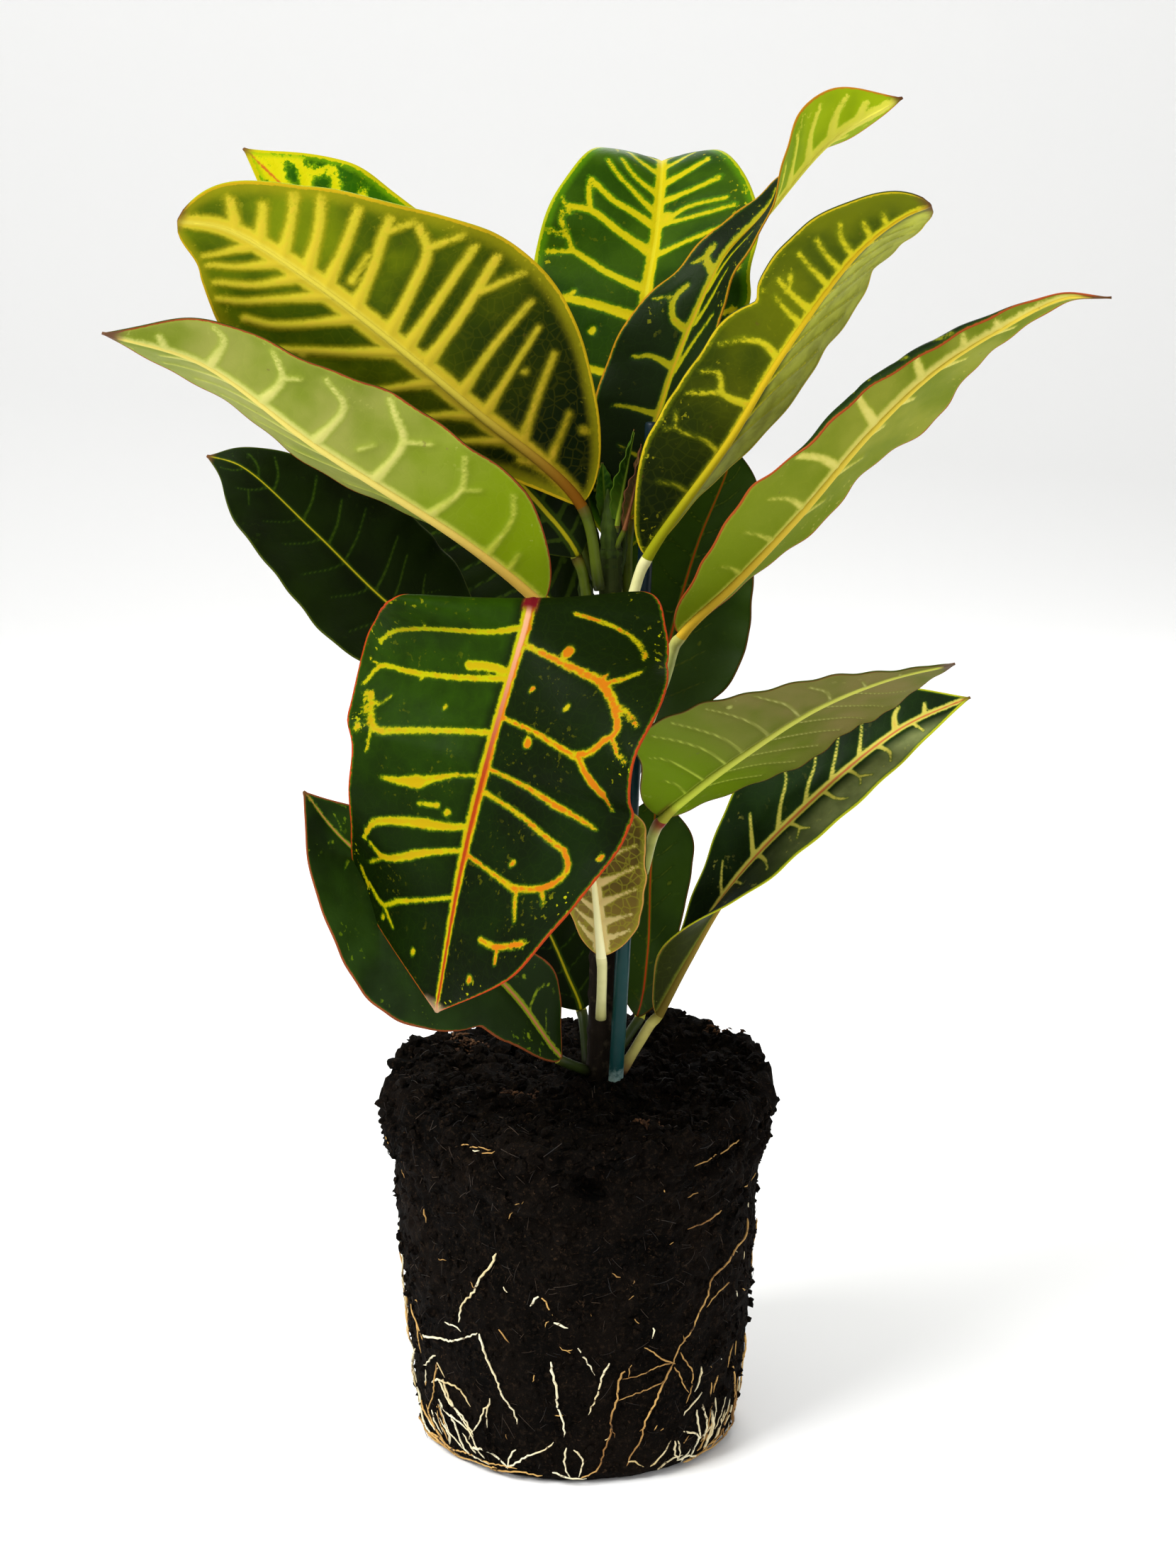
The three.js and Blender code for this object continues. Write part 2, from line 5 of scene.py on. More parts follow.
import bpy
import numpy as np
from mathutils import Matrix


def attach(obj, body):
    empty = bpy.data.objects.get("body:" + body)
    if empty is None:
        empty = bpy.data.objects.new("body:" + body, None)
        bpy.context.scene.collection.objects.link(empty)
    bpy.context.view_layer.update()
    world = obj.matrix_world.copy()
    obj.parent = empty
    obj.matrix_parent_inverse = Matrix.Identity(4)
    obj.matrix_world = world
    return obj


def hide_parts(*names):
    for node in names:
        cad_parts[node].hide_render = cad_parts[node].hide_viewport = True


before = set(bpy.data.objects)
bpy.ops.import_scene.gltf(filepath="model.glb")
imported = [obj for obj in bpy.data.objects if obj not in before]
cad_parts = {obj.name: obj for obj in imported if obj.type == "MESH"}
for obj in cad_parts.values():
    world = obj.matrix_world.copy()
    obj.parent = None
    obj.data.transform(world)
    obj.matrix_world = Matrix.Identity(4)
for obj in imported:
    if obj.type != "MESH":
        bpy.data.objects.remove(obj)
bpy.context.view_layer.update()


# Camera: a little above the leaves and in front of the plant, looking slightly down, as the
# photograph was taken.
CAMERA_PLACE, LOOK_DOWN, LENS, SENSOR_WIDTH, SEES_AS_FAR_AS = (0.003, -0.764, 0.351), 11.5, 61.8, 36, 50
camera = bpy.data.objects.new("camera", bpy.data.cameras.new("camera"))
camera.data.lens = LENS
camera.data.sensor_width = SENSOR_WIDTH
camera.data.clip_end = SEES_AS_FAR_AS
camera.location = CAMERA_PLACE
camera.rotation_euler = (math.radians(90 - LOOK_DOWN), 0, 0)
bpy.context.scene.collection.objects.link(camera)
bpy.context.scene.camera = camera


# Studio: a pale floor that curves up into the backdrop, a big soft light above on the left, a
# softer one on the right, one behind that lights the leaves' edges, and white air all round.
FLOOR_WIDTH, FLOOR_FRONT, FLOOR_BACK, FLOOR_DROP = 4.0, -2.5, 1.6, 0.0002
WALL_HEIGHT, BEND, BEND_STEPS = 3.0, 0.8, 14
AIR_LIGHT = 0.58


def place_mesh(name, verts, faces, materials, smooth=True):
    """A piece made of vertices (in metres) and faces, put into the scene."""
    data = bpy.data.meshes.new(name)
    data.from_pydata([tuple(v) for v in verts], [], [tuple(f) for f in faces])
    data.validate()
    if smooth:
        data.polygons.foreach_set("use_smooth", [True] * len(data.polygons))
    for material in materials:
        data.materials.append(material)
    piece = bpy.data.objects.new(name, data)
    bpy.context.scene.collection.objects.link(piece)
    return piece


def feed(tree, node, inputs):
    """Sets inputs of a node: a socket is linked to it, anything else is the input's own value."""
    for key, value in inputs.items():
        if isinstance(value, bpy.types.NodeSocket):
            tree.links.new(value, node.inputs[key])
        else:
            node.inputs[key].default_value = value


def put(tree, kind, inputs=None, **settings):
    """A new node with its settings and inputs."""
    made = tree.nodes.new(kind)
    for key, value in settings.items():
        setattr(made, key, value)
    feed(tree, made, inputs or {})
    return made


def paint(red, green, blue):
    """Colour of a paint chip (0 to 255 on screen) as the shader's linear colour."""
    chip = [c / 255 for c in (red, green, blue)]
    return tuple(c / 12.92 if c <= 0.04045 else ((c + 0.055) / 1.055) ** 2.4 for c in chip) + (1.0,)


def new_finish(name):
    """A new material, its node tree and its Principled shader."""
    finish = bpy.data.materials.new(name)
    finish.use_nodes = True
    return finish, finish.node_tree, finish.node_tree.nodes["Principled BSDF"]


def blend(tree, base, colour, mask):
    """Lays a colour over the base colour, as far as the mask goes."""
    return put(tree, "ShaderNodeMix", {0: mask, 6: base, 7: colour}, data_type="RGBA").outputs[2]


backdrop_finish, tree, shader = new_finish("backdrop paper")
paper_grain = put(tree, "ShaderNodeTexNoise", {"Scale": 3.0, "Detail": 2.0}).outputs["Fac"]
paper_tone = blend(tree, paint(249, 249, 248), paint(253, 253, 252), paper_grain)
feed(tree, shader, {"Base Color": paper_tone, "Roughness": 0.9, "Specular IOR Level": 0.2})
sweep = [(FLOOR_FRONT, 0.0), (FLOOR_BACK, 0.0)]
for a in np.linspace(0.1, math.pi / 2, BEND_STEPS):
    sweep.append((FLOOR_BACK + BEND * math.sin(a), BEND * (1 - math.cos(a))))
sweep.append((FLOOR_BACK + BEND, WALL_HEIGHT))
verts = [(x, y, z - FLOOR_DROP) for y, z in sweep for x in (-FLOOR_WIDTH, FLOOR_WIDTH)]
faces = [(2 * i, 2 * i + 1, 2 * i + 3, 2 * i + 2) for i in range(len(sweep) - 1)]
backdrop = place_mesh("backdrop", verts, faces, [backdrop_finish])

world = bpy.data.worlds.new("studio air")
world.use_nodes = True
air = world.node_tree.nodes["Background"]
feed(world.node_tree, air, {"Color": (1.0, 1.0, 1.0, 1.0), "Strength": AIR_LIGHT})
bpy.context.scene.world = world
bpy.context.scene.view_settings.view_transform = "Standard"


def soft_light(name, place, aim, size, power):
    """A round soft light at a place, turned to the point that it lights."""
    lamp = bpy.data.objects.new(name, bpy.data.lights.new(name, "AREA"))
    lamp.data.shape = "DISK"
    lamp.data.size = size
    lamp.data.energy = power
    lamp.location = place
    toward = np.array(aim) - np.array(place)
    tilt = math.atan2(math.hypot(toward[0], toward[1]), -toward[2])
    lamp.rotation_euler = (tilt, 0, math.atan2(toward[1], toward[0]) - math.pi / 2)
    bpy.context.scene.collection.objects.link(lamp)


soft_light("key light", place=(-0.9, -0.7, 1.3), aim=(0, 0, 0.2), size=0.9, power=32)
soft_light("fill light", place=(1.2, -0.8, 0.7), aim=(0, 0, 0.2), size=1.0, power=4)
soft_light("back light", place=(0.2, 1.2, 1.2), aim=(0, 0, 0.25), size=0.9, power=12)


# Root ball: damp peat with wood fibre, held in the shape of its nursery pot by the roots. Tapered
# side, a step under the rim, and a crumbly top that the plant grows out of.
MM = 0.001
BALL_HEIGHT = 106
BALL_RADII = [44.5, 47.2, 48.4, 51.6, 54.4, 57.0, 57.4, 57.8, 57.4]
BALL_LEVELS = [0, 2.6, 9, 46, 82, 86.5, 97, 102.5, 105.6]
BALL_AROUND, BOTTOM_RINGS, RIM_RINGS, TOP_RINGS = 320, (6, 14, 22, 30, 38, 43.6), 6, 50
SIDE_FROM, SIDE_TO, SIDE_STEP = 0.4, 104.2, 1.0
# how far the step under the rim wanders up and down, and how far the peat above it is worn off
STEP_WANDER, RIM_WEAR, WORN_FROM, WORN_TO = 4, 1.3, 60, 96
# how high the bumps of the side are, by level
BUMP_LEVELS, BUMP_HEIGHTS = [0, 4, 60, 86, 96, 106], [0.3, 0.8, 0.9, 1.5, 2.4, 2.6]
# a hollow under the rim in front, where a clod has fallen off: direction, level, depth, spreads
HOLLOW_AT, HOLLOW_LEVEL, HOLLOW_DEPTH, HOLLOW_WIDE, HOLLOW_TALL = -87, 92, 8, 9, 6.5
# lumps and dips of the top: x, y, height, spread
TOP_LUMPS = [(33, 43, 8, 9), (52, 24, 7, 8), (-49, 16, 6, 9), (-30, 34, 3, 12), (14, 50, 4, 9),
             (-18, -30, -4.5, 13), (26, -32, -4, 12), (46, -12, 2.5, 12), (-44, -20, 2, 11),
             (2, -53, -6, 6), (-22, -50, 2, 5), (24, -49, 1.5, 5), (-52, -16, 3, 6), (56, 8, 7, 8),
             (-55, 4, 4.5, 7), (11, -7, 3, 9)]
# crumbs of the top: height, size and seed; then how far the middle reaches and how wide its edge is
TOP_CLODS = [(2.9, 12, 5), (2.8, 5, 6), (1.4, 2.6, 7), (0.7, 1.4, 8)]
TOP_FLAT, TOP_EDGE = 46, 12
# whole numbers that scatter the noise
SCATTER, STIR, MASK = np.array([374761393, 668265263, 974634777]), 1274126177, 0xFFFFFFFF
dice = random.Random(41)


def clods(points, size, seed):
    """Smooth noise between -1 and 1 in a block of peat, with grains of the given size in mm."""
    q = np.asarray(points, float) / size + seed * 7.31 + 500
    cell = np.floor(q).astype(np.int64)
    f = q - cell
    f = f * f * (3 - 2 * f)
    total = np.zeros(q.shape[:-1])
    for dx in (0, 1):
        for dy in (0, 1):
            for dz in (0, 1):
                h = ((cell + (dx, dy, dz)) * SCATTER).sum(-1) & MASK
                h = (h ^ (h >> 13)) * STIR & MASK
                value = ((h ^ (h >> 16)) & 0xFFFF) / 32767.5 - 1
                weight = (f[..., 0] if dx else 1 - f[..., 0]) * (f[..., 1] if dy else 1 - f[..., 1])
                total += value * weight * (f[..., 2] if dz else 1 - f[..., 2])
    return total


def ball_radius(z):
    return np.interp(z, BALL_LEVELS, BALL_RADII)


def top_lift(x, y):
    """How far the lumps raise the ball's top, in mm."""
    lift = np.zeros(np.shape(x))
    for a, b, height, spread in TOP_LUMPS:
        lift = lift + height * np.exp(-((x - a) ** 2 + (y - b) ** 2) / (2 * spread ** 2))
    return lift


def side_point(angle, z, lift=0.0, fine=True):
    """Point on the rough side of the ball, angle in degrees, height in mm."""
    a = np.radians(angle)
    r = ball_radius(z)
    p = np.stack([r * np.cos(a), r * np.sin(a), z], -1)
    wander = STEP_WANDER * clods(p, 17, 9) * np.clip((z - 62) / 15, 0, 1) * np.clip((104 - z) / 10, 0, 1)
    r = ball_radius(z + wander) - np.interp(z, [WORN_FROM, WORN_TO], [0, RIM_WEAR])
    crumbly = np.interp(z, BUMP_LEVELS, BUMP_HEIGHTS)
    bump = crumbly * (0.8 * clods(p, 13, 1) + 0.7 * clods(p, 5, 2))
    if fine:
        bump = bump + crumbly * (0.7 * clods(p, 2.6, 3) + 0.45 * clods(p, 1.3, 4))
    aside = (angle - HOLLOW_AT + 180) % 360 - 180
    hollow = np.exp(-(aside / HOLLOW_WIDE) ** 2 - ((z - HOLLOW_LEVEL) / HOLLOW_TALL) ** 2)
    r = r + (bump - HOLLOW_DEPTH * hollow) + lift
    return np.stack([r * np.cos(a), r * np.sin(a), z], -1)


def top_point(x, y):
    """Point on the crumbly top of the ball, in mm."""
    p = np.stack([x, y, 0 * x], -1)
    rough = np.zeros(np.shape(x))
    for height, size, seed in TOP_CLODS:
        rough = rough + height * clods(p, size, seed)
    edge = np.clip((np.hypot(x, y) - TOP_FLAT) / TOP_EDGE, 0, 1)
    z = BALL_HEIGHT - 0.4 * edge + top_lift(x, y) + rough * (0.8 + 0.3 * edge)
    return np.stack([x, y, z], -1)


def skin_over(rings, low_middle, top_middle):
    """Vertices and faces of a skin over a stack of rings (mm), closed by a point at each end."""
    n = len(rings[0])
    verts = np.concatenate(rings + [[low_middle, top_middle]]) * MM
    faces = [(i * n + j, i * n + (j + 1) % n, (i + 1) * n + (j + 1) % n, (i + 1) * n + j)
             for i in range(len(rings) - 1) for j in range(n)]
    low, top, last = len(verts) - 2, len(verts) - 1, (len(rings) - 1) * n
    faces += [(low, (j + 1) % n, j) for j in range(n)]
    faces += [(top, last + j, last + (j + 1) % n) for j in range(n)]
    return verts, faces


around = np.linspace(0, 360, BALL_AROUND, endpoint=False)
rings = [np.stack([r * np.cos(np.radians(around)), r * np.sin(np.radians(around)), 0 * around], -1)
         for r in BOTTOM_RINGS]
for level in np.arange(SIDE_FROM, SIDE_TO, SIDE_STEP):
    rings.append(side_point(around, np.full(around.shape, level)))
rim = rings[-1]
inside_rim = top_point(rim[:, 0] * 0.98, rim[:, 1] * 0.98)
for share in np.linspace(0, 1, RIM_RINGS)[1:-1]:
    rings.append(rim * (1 - share) + inside_rim * share)
for share in np.linspace(0.97, 0.03, TOP_RINGS):
    rings.append(top_point(rim[:, 0] * share, rim[:, 1] * share))
verts, faces = skin_over(rings, (0, 0, 0), rings[-1].mean(0))


def grain(tree, where, scale, detail=2.0, rough=0.5, bend=0.0):
    """Noise between 0 and 1 over the surface; where is the socket that gives the place."""
    inputs = {"Vector": where, "Scale": scale, "Detail": detail, "Roughness": rough, "Distortion": bend}
    return put(tree, "ShaderNodeTexNoise", inputs).outputs["Fac"]


def stretch(tree, value, start, end, low=0.0, high=1.0, kind="LINEAR"):
    """Spreads what lies between start and end over low to high."""
    inputs = {0: value, 1: start, 2: end, 3: low, 4: high}
    return put(tree, "ShaderNodeMapRange", inputs, interpolation_type=kind).outputs[0]


def emboss(tree, height, strength, distance, more=None):
    """Fine relief for a shader's Normal, laid over more relief if there is some."""
    inputs = {"Strength": strength, "Distance": distance, "Height": height}
    if more:
        inputs["Normal"] = more
    return put(tree, "ShaderNodeBump", inputs).outputs["Normal"]


peat_finish, tree, shader = new_finish("damp peat")
where = put(tree, "ShaderNodeTexCoord").outputs["Object"]
patches = grain(tree, where, 60, 5, 0.65)
grains = grain(tree, where, 700, 5, 0.7)
threads = grain(tree, where, 420, 3, bend=2.5)
tone = blend(tree, paint(4, 3, 2), paint(17, 12, 8), stretch(tree, patches, 0.38, 0.68))
tone = blend(tree, tone, paint(42, 32, 23), stretch(tree, grains, 0.52, 0.78))
tone = blend(tree, tone, paint(54, 40, 28), stretch(tree, threads, 0.66, 0.72))
relief = emboss(tree, grains, strength=0.9, distance=0.0009)
relief = emboss(tree, threads, strength=0.8, distance=0.0006, more=relief)
feed(tree, shader, {"Base Color": tone, "Normal": relief, "Roughness": 0.95, "Specular IOR Level": 0.05})

peat = place_mesh("peat_ball", verts, faces, [peat_finish])
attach(peat, "root")
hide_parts("root_ball")


# Crumbs and fibres: loose bits of the same peat, from dust to pea size, and wood fibres that stick
# out of it. They lie half sunk in the ball's skin.
CRUMBS, CRUMBS_ON_TOP, BIG_CRUMB = 5200, 0.42, 1.15
CRUMB_LEAST, CRUMB_MORE, RIM_CRUMB_MORE, RIM_LEVEL, RIM_REACH = 0.35, 0.9, 1.2, 101, 12
FIBRES, FIBRES_ON_TOP, FIBRE_SIDES, FIBRE_STEPS, LOW_FIBRE = 900, 0.35, 3, 5, 80
FIBRE_LENGTHS, FIBRE_BOW, FIBRE_HUMPS, FIBRE_RADII = (2, 7), 0.25, (0.1, 0.7), (0.06, 0.12)
BITS_A_HEAP, BIT_SIDES, BIT_LENGTHS, BIT_RADII = 70, 5, (0.7, 2.6), (0.2, 0.55)
TOP_REACH, SIDE_LOW, SIDE_TALL = 54, 2.5, 102
golden = (1 + 5 ** 0.5) / 2
CRUMB_CORNERS = np.array([(-1, golden, 0), (1, golden, 0), (-1, -golden, 0), (1, -golden, 0), (0, -1, golden),
                          (0, 1, golden), (0, -1, -golden), (0, 1, -golden), (golden, 0, -1), (golden, 0, 1),
                          (-golden, 0, -1), (-golden, 0, 1)]) / 1.9
CRUMB_SIDES = [(0, 11, 5), (0, 5, 1), (0, 1, 7), (0, 7, 10), (0, 10, 11), (1, 5, 9), (5, 11, 4), (11, 10, 2),
               (10, 7, 6), (7, 1, 8), (3, 9, 4), (3, 4, 2), (3, 2, 6), (3, 6, 8), (3, 8, 9), (4, 9, 5),
               (2, 4, 11), (6, 2, 10), (8, 6, 7), (9, 8, 1)]


def skin_spot(share_top):
    """A random place on the ball's skin: the point, and the direction that faces out there."""
    if dice.random() < share_top:
        r, a = TOP_REACH * dice.random() ** 0.45, dice.uniform(0, 2 * math.pi)
        out = np.array([0.2 * math.cos(a), 0.2 * math.sin(a), 1.0])
        return top_point(np.array([r * math.cos(a)]), np.array([r * math.sin(a)]))[0], out
    a, z = dice.uniform(0, 360), SIDE_LOW + SIDE_TALL * dice.random() ** 0.8
    out = np.array([math.cos(math.radians(a)), math.sin(math.radians(a)), 0])
    return side_point(np.array([a]), np.array([z]))[0], out


# a finer ball for the larger crumbs: each side of the small one split in four
middles, fine_sides, fine_corners = {}, [], [c / np.linalg.norm(c) for c in CRUMB_CORNERS]
for side in CRUMB_SIDES:
    cuts = []
    for one, two in ((0, 1), (1, 2), (2, 0)):
        pair = tuple(sorted((side[one], side[two])))
        if pair not in middles:
            middles[pair] = len(fine_corners)
            half = fine_corners[pair[0]] + fine_corners[pair[1]]
            fine_corners.append(half / np.linalg.norm(half))
        cuts.append(middles[pair])
    ab, bc, ca = cuts
    fine_sides += [(side[0], ab, ca), (side[1], bc, ab), (side[2], ca, bc), (ab, bc, ca)]
fine_corners = np.array(fine_corners)

verts, faces = [], []
for k in range(CRUMBS):
    spot, out = skin_spot(CRUMBS_ON_TOP)
    size = CRUMB_LEAST + CRUMB_MORE * dice.random() ** 3
    if abs(spot[2] - RIM_LEVEL) < RIM_REACH:
        size += RIM_CRUMB_MORE * dice.random() ** 4
    corners, sides = (fine_corners, fine_sides) if size > BIG_CRUMB else (CRUMB_CORNERS, CRUMB_SIDES)
    shape = corners * size * np.array([dice.uniform(0.5, 1.6) for _ in range(3)])
    if size > BIG_CRUMB:
        shape = shape * (1 + 0.75 * clods(shape, 0.9 * size, k)[:, None])
    else:
        shape = shape * (1 + 0.4 * np.array([[dice.uniform(-1, 1)] for _ in corners]))
    a, b = dice.uniform(0, 6.28), dice.uniform(0, 3.14)
    turn = np.array([[math.cos(a), -math.sin(a), 0], [math.sin(a), math.cos(a), 0], [0, 0, 1]])
    tip = np.array([[1, 0, 0], [0, math.cos(b), -math.sin(b)], [0, math.sin(b), math.cos(b)]])
    placed = shape @ turn @ tip + spot + out * size * 0.1
    placed[:, 2] = np.maximum(placed[:, 2], 0.05)
    faces += [tuple(corner + len(verts) for corner in side) for side in sides]
    verts += list(placed * MM)
crumbs = place_mesh("peat_crumbs", verts, faces, [peat_finish], smooth=False)
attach(crumbs, "root")


def rod_mesh(points, radii, sides, verts, faces):
    """Adds a round rod through the points (mm) to a list of vertices and faces."""
    points = np.asarray(points, float)
    start = len(verts)
    along = np.gradient(points, axis=0)
    along /= np.linalg.norm(along, axis=1)[:, None] + 1e-9
    side = np.cross(along[0], (0.31, 0.52, 0.79))
    for i, (p, t) in enumerate(zip(points, along)):
        side = side - t * (side @ t)
        side /= np.linalg.norm(side) + 1e-9
        other = np.cross(t, side)
        for j in range(sides):
            a = 2 * math.pi * j / sides
            verts.append((p + radii[i] * (side * math.cos(a) + other * math.sin(a))) * MM)
    for i in range(len(points) - 1):
        for j in range(sides):
            a, b = start + i * sides + j, start + i * sides + (j + 1) % sides
            faces.append((a, b, b + sides, a + sides))
    faces.append(tuple(start + j for j in range(sides))[::-1])
    faces.append(tuple(start + (len(points) - 1) * sides + j for j in range(sides)))


def mottled_finish(name, scale, detail, start, end, dark, light, rough, shine):
    """Finish of loose wood: a dark and a light brown in patches."""
    finish, tree, shader = new_finish(name)
    where = put(tree, "ShaderNodeTexCoord").outputs["Object"]
    patches = stretch(tree, grain(tree, where, scale, detail), start, end)
    tone = blend(tree, paint(*dark), paint(*light), patches)
    feed(tree, shader, {"Base Color": tone, "Roughness": rough, "Specular IOR Level": shine})
    return finish


verts, faces = [], []
steps = np.linspace(0, 1, FIBRE_STEPS)
for _ in range(FIBRES):
    spot, out = skin_spot(FIBRES_ON_TOP)
    run = np.cross(out, [dice.uniform(-1, 1) for _ in range(3)])
    run /= np.linalg.norm(run)
    bow = np.cross(run, out) * dice.uniform(-FIBRE_BOW, FIBRE_BOW)
    length = dice.uniform(*FIBRE_LENGTHS)
    hump = dice.uniform(*FIBRE_HUMPS)
    fibre = [spot + run * length * (s - 0.5) + bow * length * s * s
             + out * (hump * 4 * s * (1 - s) - 0.05) for s in steps]
    fibre = np.maximum(fibre, [-99, -99, 0.15])
    radius = dice.uniform(*FIBRE_RADII) * (0.7 if spot[2] < LOW_FIBRE else 1)
    rod_mesh(fibre, np.full(FIBRE_STEPS, radius), FIBRE_SIDES, verts, faces)
fibre_finish = mottled_finish("peat fibre", 160, 3, 0.42, 0.7, (14, 10, 8), (70, 52, 34), 0.85, 0.5)
fibres = place_mesh("peat_fibres", verts, faces, [fibre_finish])
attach(fibres, "root")

# bits of brown bark that lie in heaps on top: x, y, spread
BARK_HEAPS = [(-16, -11, 2.6), (45, 31, 2.6), (-35, 24, 2.2), (20, -40, 1.6)]
bark_dice = random.Random(17)
verts, faces = [], []
for x, y, spread in BARK_HEAPS:
    for _ in range(BITS_A_HEAP):
        x_here, y_here = x + bark_dice.gauss(0, spread), y + bark_dice.gauss(0, spread)
        spot = top_point(np.array([x_here]), np.array([y_here]))[0]
        turn, tilt = bark_dice.uniform(0, 6.28), bark_dice.uniform(-0.5, 0.5)
        length = bark_dice.uniform(*BIT_LENGTHS)
        half = np.array([math.cos(turn), math.sin(turn), tilt]) * length / 2
        spot[2] += bark_dice.uniform(-0.1, 1.5)
        thick = bark_dice.uniform(*BIT_RADII)
        bit = [spot - half, spot + [0, 0, 0.15], spot + half]
        rod_mesh(bit, [thick * 0.5, thick, thick * 0.45], BIT_SIDES, verts, faces)
bit_finish = mottled_finish("brown bark bits", 300, 4, 0.35, 0.65, (42, 28, 19), (90, 62, 41), 0.9, 0.1)
bark_bits = place_mesh("bark_bits", verts, faces, [bit_finish], smooth=False)
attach(bark_bits, "root")


# Roots: cream and tan roots that ran along the inside of the pot. A ring of them lies round the
# bottom edge, thin ones climb the side, and they are partly buried in the peat.
RING_ROOTS, CLIMBING_ROOTS, ROOT_ENDS = 12, 54, 96
RING_WIDTHS, TANGLE_WIDTHS, CLIMBING_WIDTHS, END_WIDTHS = (0.5, 0.9), (0.4, 0.8), (0.6, 1.1), (0.3, 0.6)
ROOT_SIDES, ROOT_STEP, LOWEST_ROOT, TANGLE_HEIGHTS = 6, 1.2, 0.8, (4, 12)
# Each root: c for cream or t for tan, width in mm, then direction in degrees and height in mm of
# its points.
ROOTS = """
t .5 -122 102 -119 102.6
t .5 -118 102.8 -115 102.2
t .6 -117 101 -114 101.8
c .5 -121 101 -119 101.3
t .5 -126 101.6 -123 102.4
t .8 -23 71 -26 66 -35 63 -43 59 -46 53 -50 46 -55 41 -59 35
t .8 -59 35 -61 30 -65 23 -68 16 -71 9 -73 5
t .7 -58 36 -63 38 -69 43
t .5 -58 36 -66 35 -75 33
t .5 -73 38 -73 33
t .8 -75 36 -78 26 -79 18 -81 10 -84 4 -89 2
t .5 -61 31 -69 28 -77 27
t .4 -79 18 -78 15
t .6 -55 38 -50 31 -49 25 -52 21
t .6 -58 34 -54 30 -51 25
c .9 -46 32 -46 28 -48 24
c .7 -45 23 -48 21 -53 18
c .8 -80 39 -82 34 -84 29 -86 23
c .7 -90 44 -87 41 -85 35
c 1 -98 39 -97 32 -96 24 -94 16
c .8 -94 12 -95 8 -92 2
c .8 -91 12 -88 8 -89 3
c .8 -99 4 -94 3 -87 2
c .8 -73 7 -71 7 -67 4
c .7 -64 4 -61 7 -57 11
c .9 -56 11 -55 7 -53 3
c .8 -54 10 -52 7 -53 4
c .9 -52 13 -48 11 -44 9 -45 6
c .9 -47 18 -45 13 -44 8 -47 3
c 1 -43 19 -42 14 -41 7
c 1.3 -38 14 -38 10 -40 4
c 1.3 -32 11 -32 8 -35 5
t .8 -26 8 -31 5 -41 3
c .8 -36 19 -36 14
t .8 -37 26 -37 21
t .7 -40 25 -39 20
t .8 -28 27 -23 22 -23 18 -16 13 -15 8
t .7 -28 33 -31 30 -31 27
t .6 -23 32 -23 28
t .9 -15 32 -13 22 -11 12
c 1 -22 11 -23 9 -26 6
c .9 -53 3 -48 4 -44 2
c .8 -61 2 -57 4 -52 5
c .8 -66 48 -66 45
c 1 -97 52 -93 50
c 1 -115 71 -119 64 -123 59 -127 54 -130 47
c .7 -136 45 -132 46 -130 44
c .9 -150 37 -143 38 -136 39 -129 42 -122 45
c .9 -122 45 -120 38 -117 32 -114 26 -110 19
t .7 -115 48 -111 44
c 1.1 -102 60 -104 56
t .7 -101 59 -97 54
t .7 -144 30 -146 24 -149 18 -152 12
c .6 -143 30 -140 26
c .9 -149 22 -144 25 -136 25 -131 24 -128 21
c .9 -144 24 -141 22 -136 18 -131 15 -127 12
c .8 -145 18 -142 16 -137 15 -133 13 -127 11
c .8 -141 25 -137 19 -130 13 -123 5
c .8 -138 15 -134 8 -133 5 -122 3
c .7 -120 23 -124 18 -130 9
c .7 -120 25 -122 15
c .8 -143 33 -148 29 -153 26
c .6 -151 25 -156 19
t .7 -163 42 -157 38 -152 34
t .7 -158 38 -156 29
c 1 -166 26 -172 13
c 1 -164 15 -161 7 -152 3
t .8 -161 12 -154 10 -151 7 -141 2
c .7 -150 13 -146 6
c .8 -141 11 -142 4
c 1 -128 7 -123 9 -119 7 -114 4
c .8 -115 4 -108 8 -102 11 -98 14
c .8 -111 11 -115 3
t .8 -124 1 -117 2 -110 3 -102 3
t .9 -155 4 -148 3 -138 1
t .6 -35 98 -45 97 -54 95
t .7 -40 78 -48 77 -54 76
t .6 -34 55 -40 53 -45 50
t .8 -145 77 -145 73
c .8 -170 60 -173 50 -170 38
t .7 -176 48 -172 38 -174 26
"""
# tangles of fine pale roots low on the right and on the left: direction, spread to each side,
# number, and how far they may lean, all in degrees
TANGLES = [(-38, 14, 14, 1, 8), (-140, 16, 8, -14, -3), (-8, 12, 16, -5, 5), (168, 15, 22, -8, 4)]
verts, faces, tan_sides = [], [], []


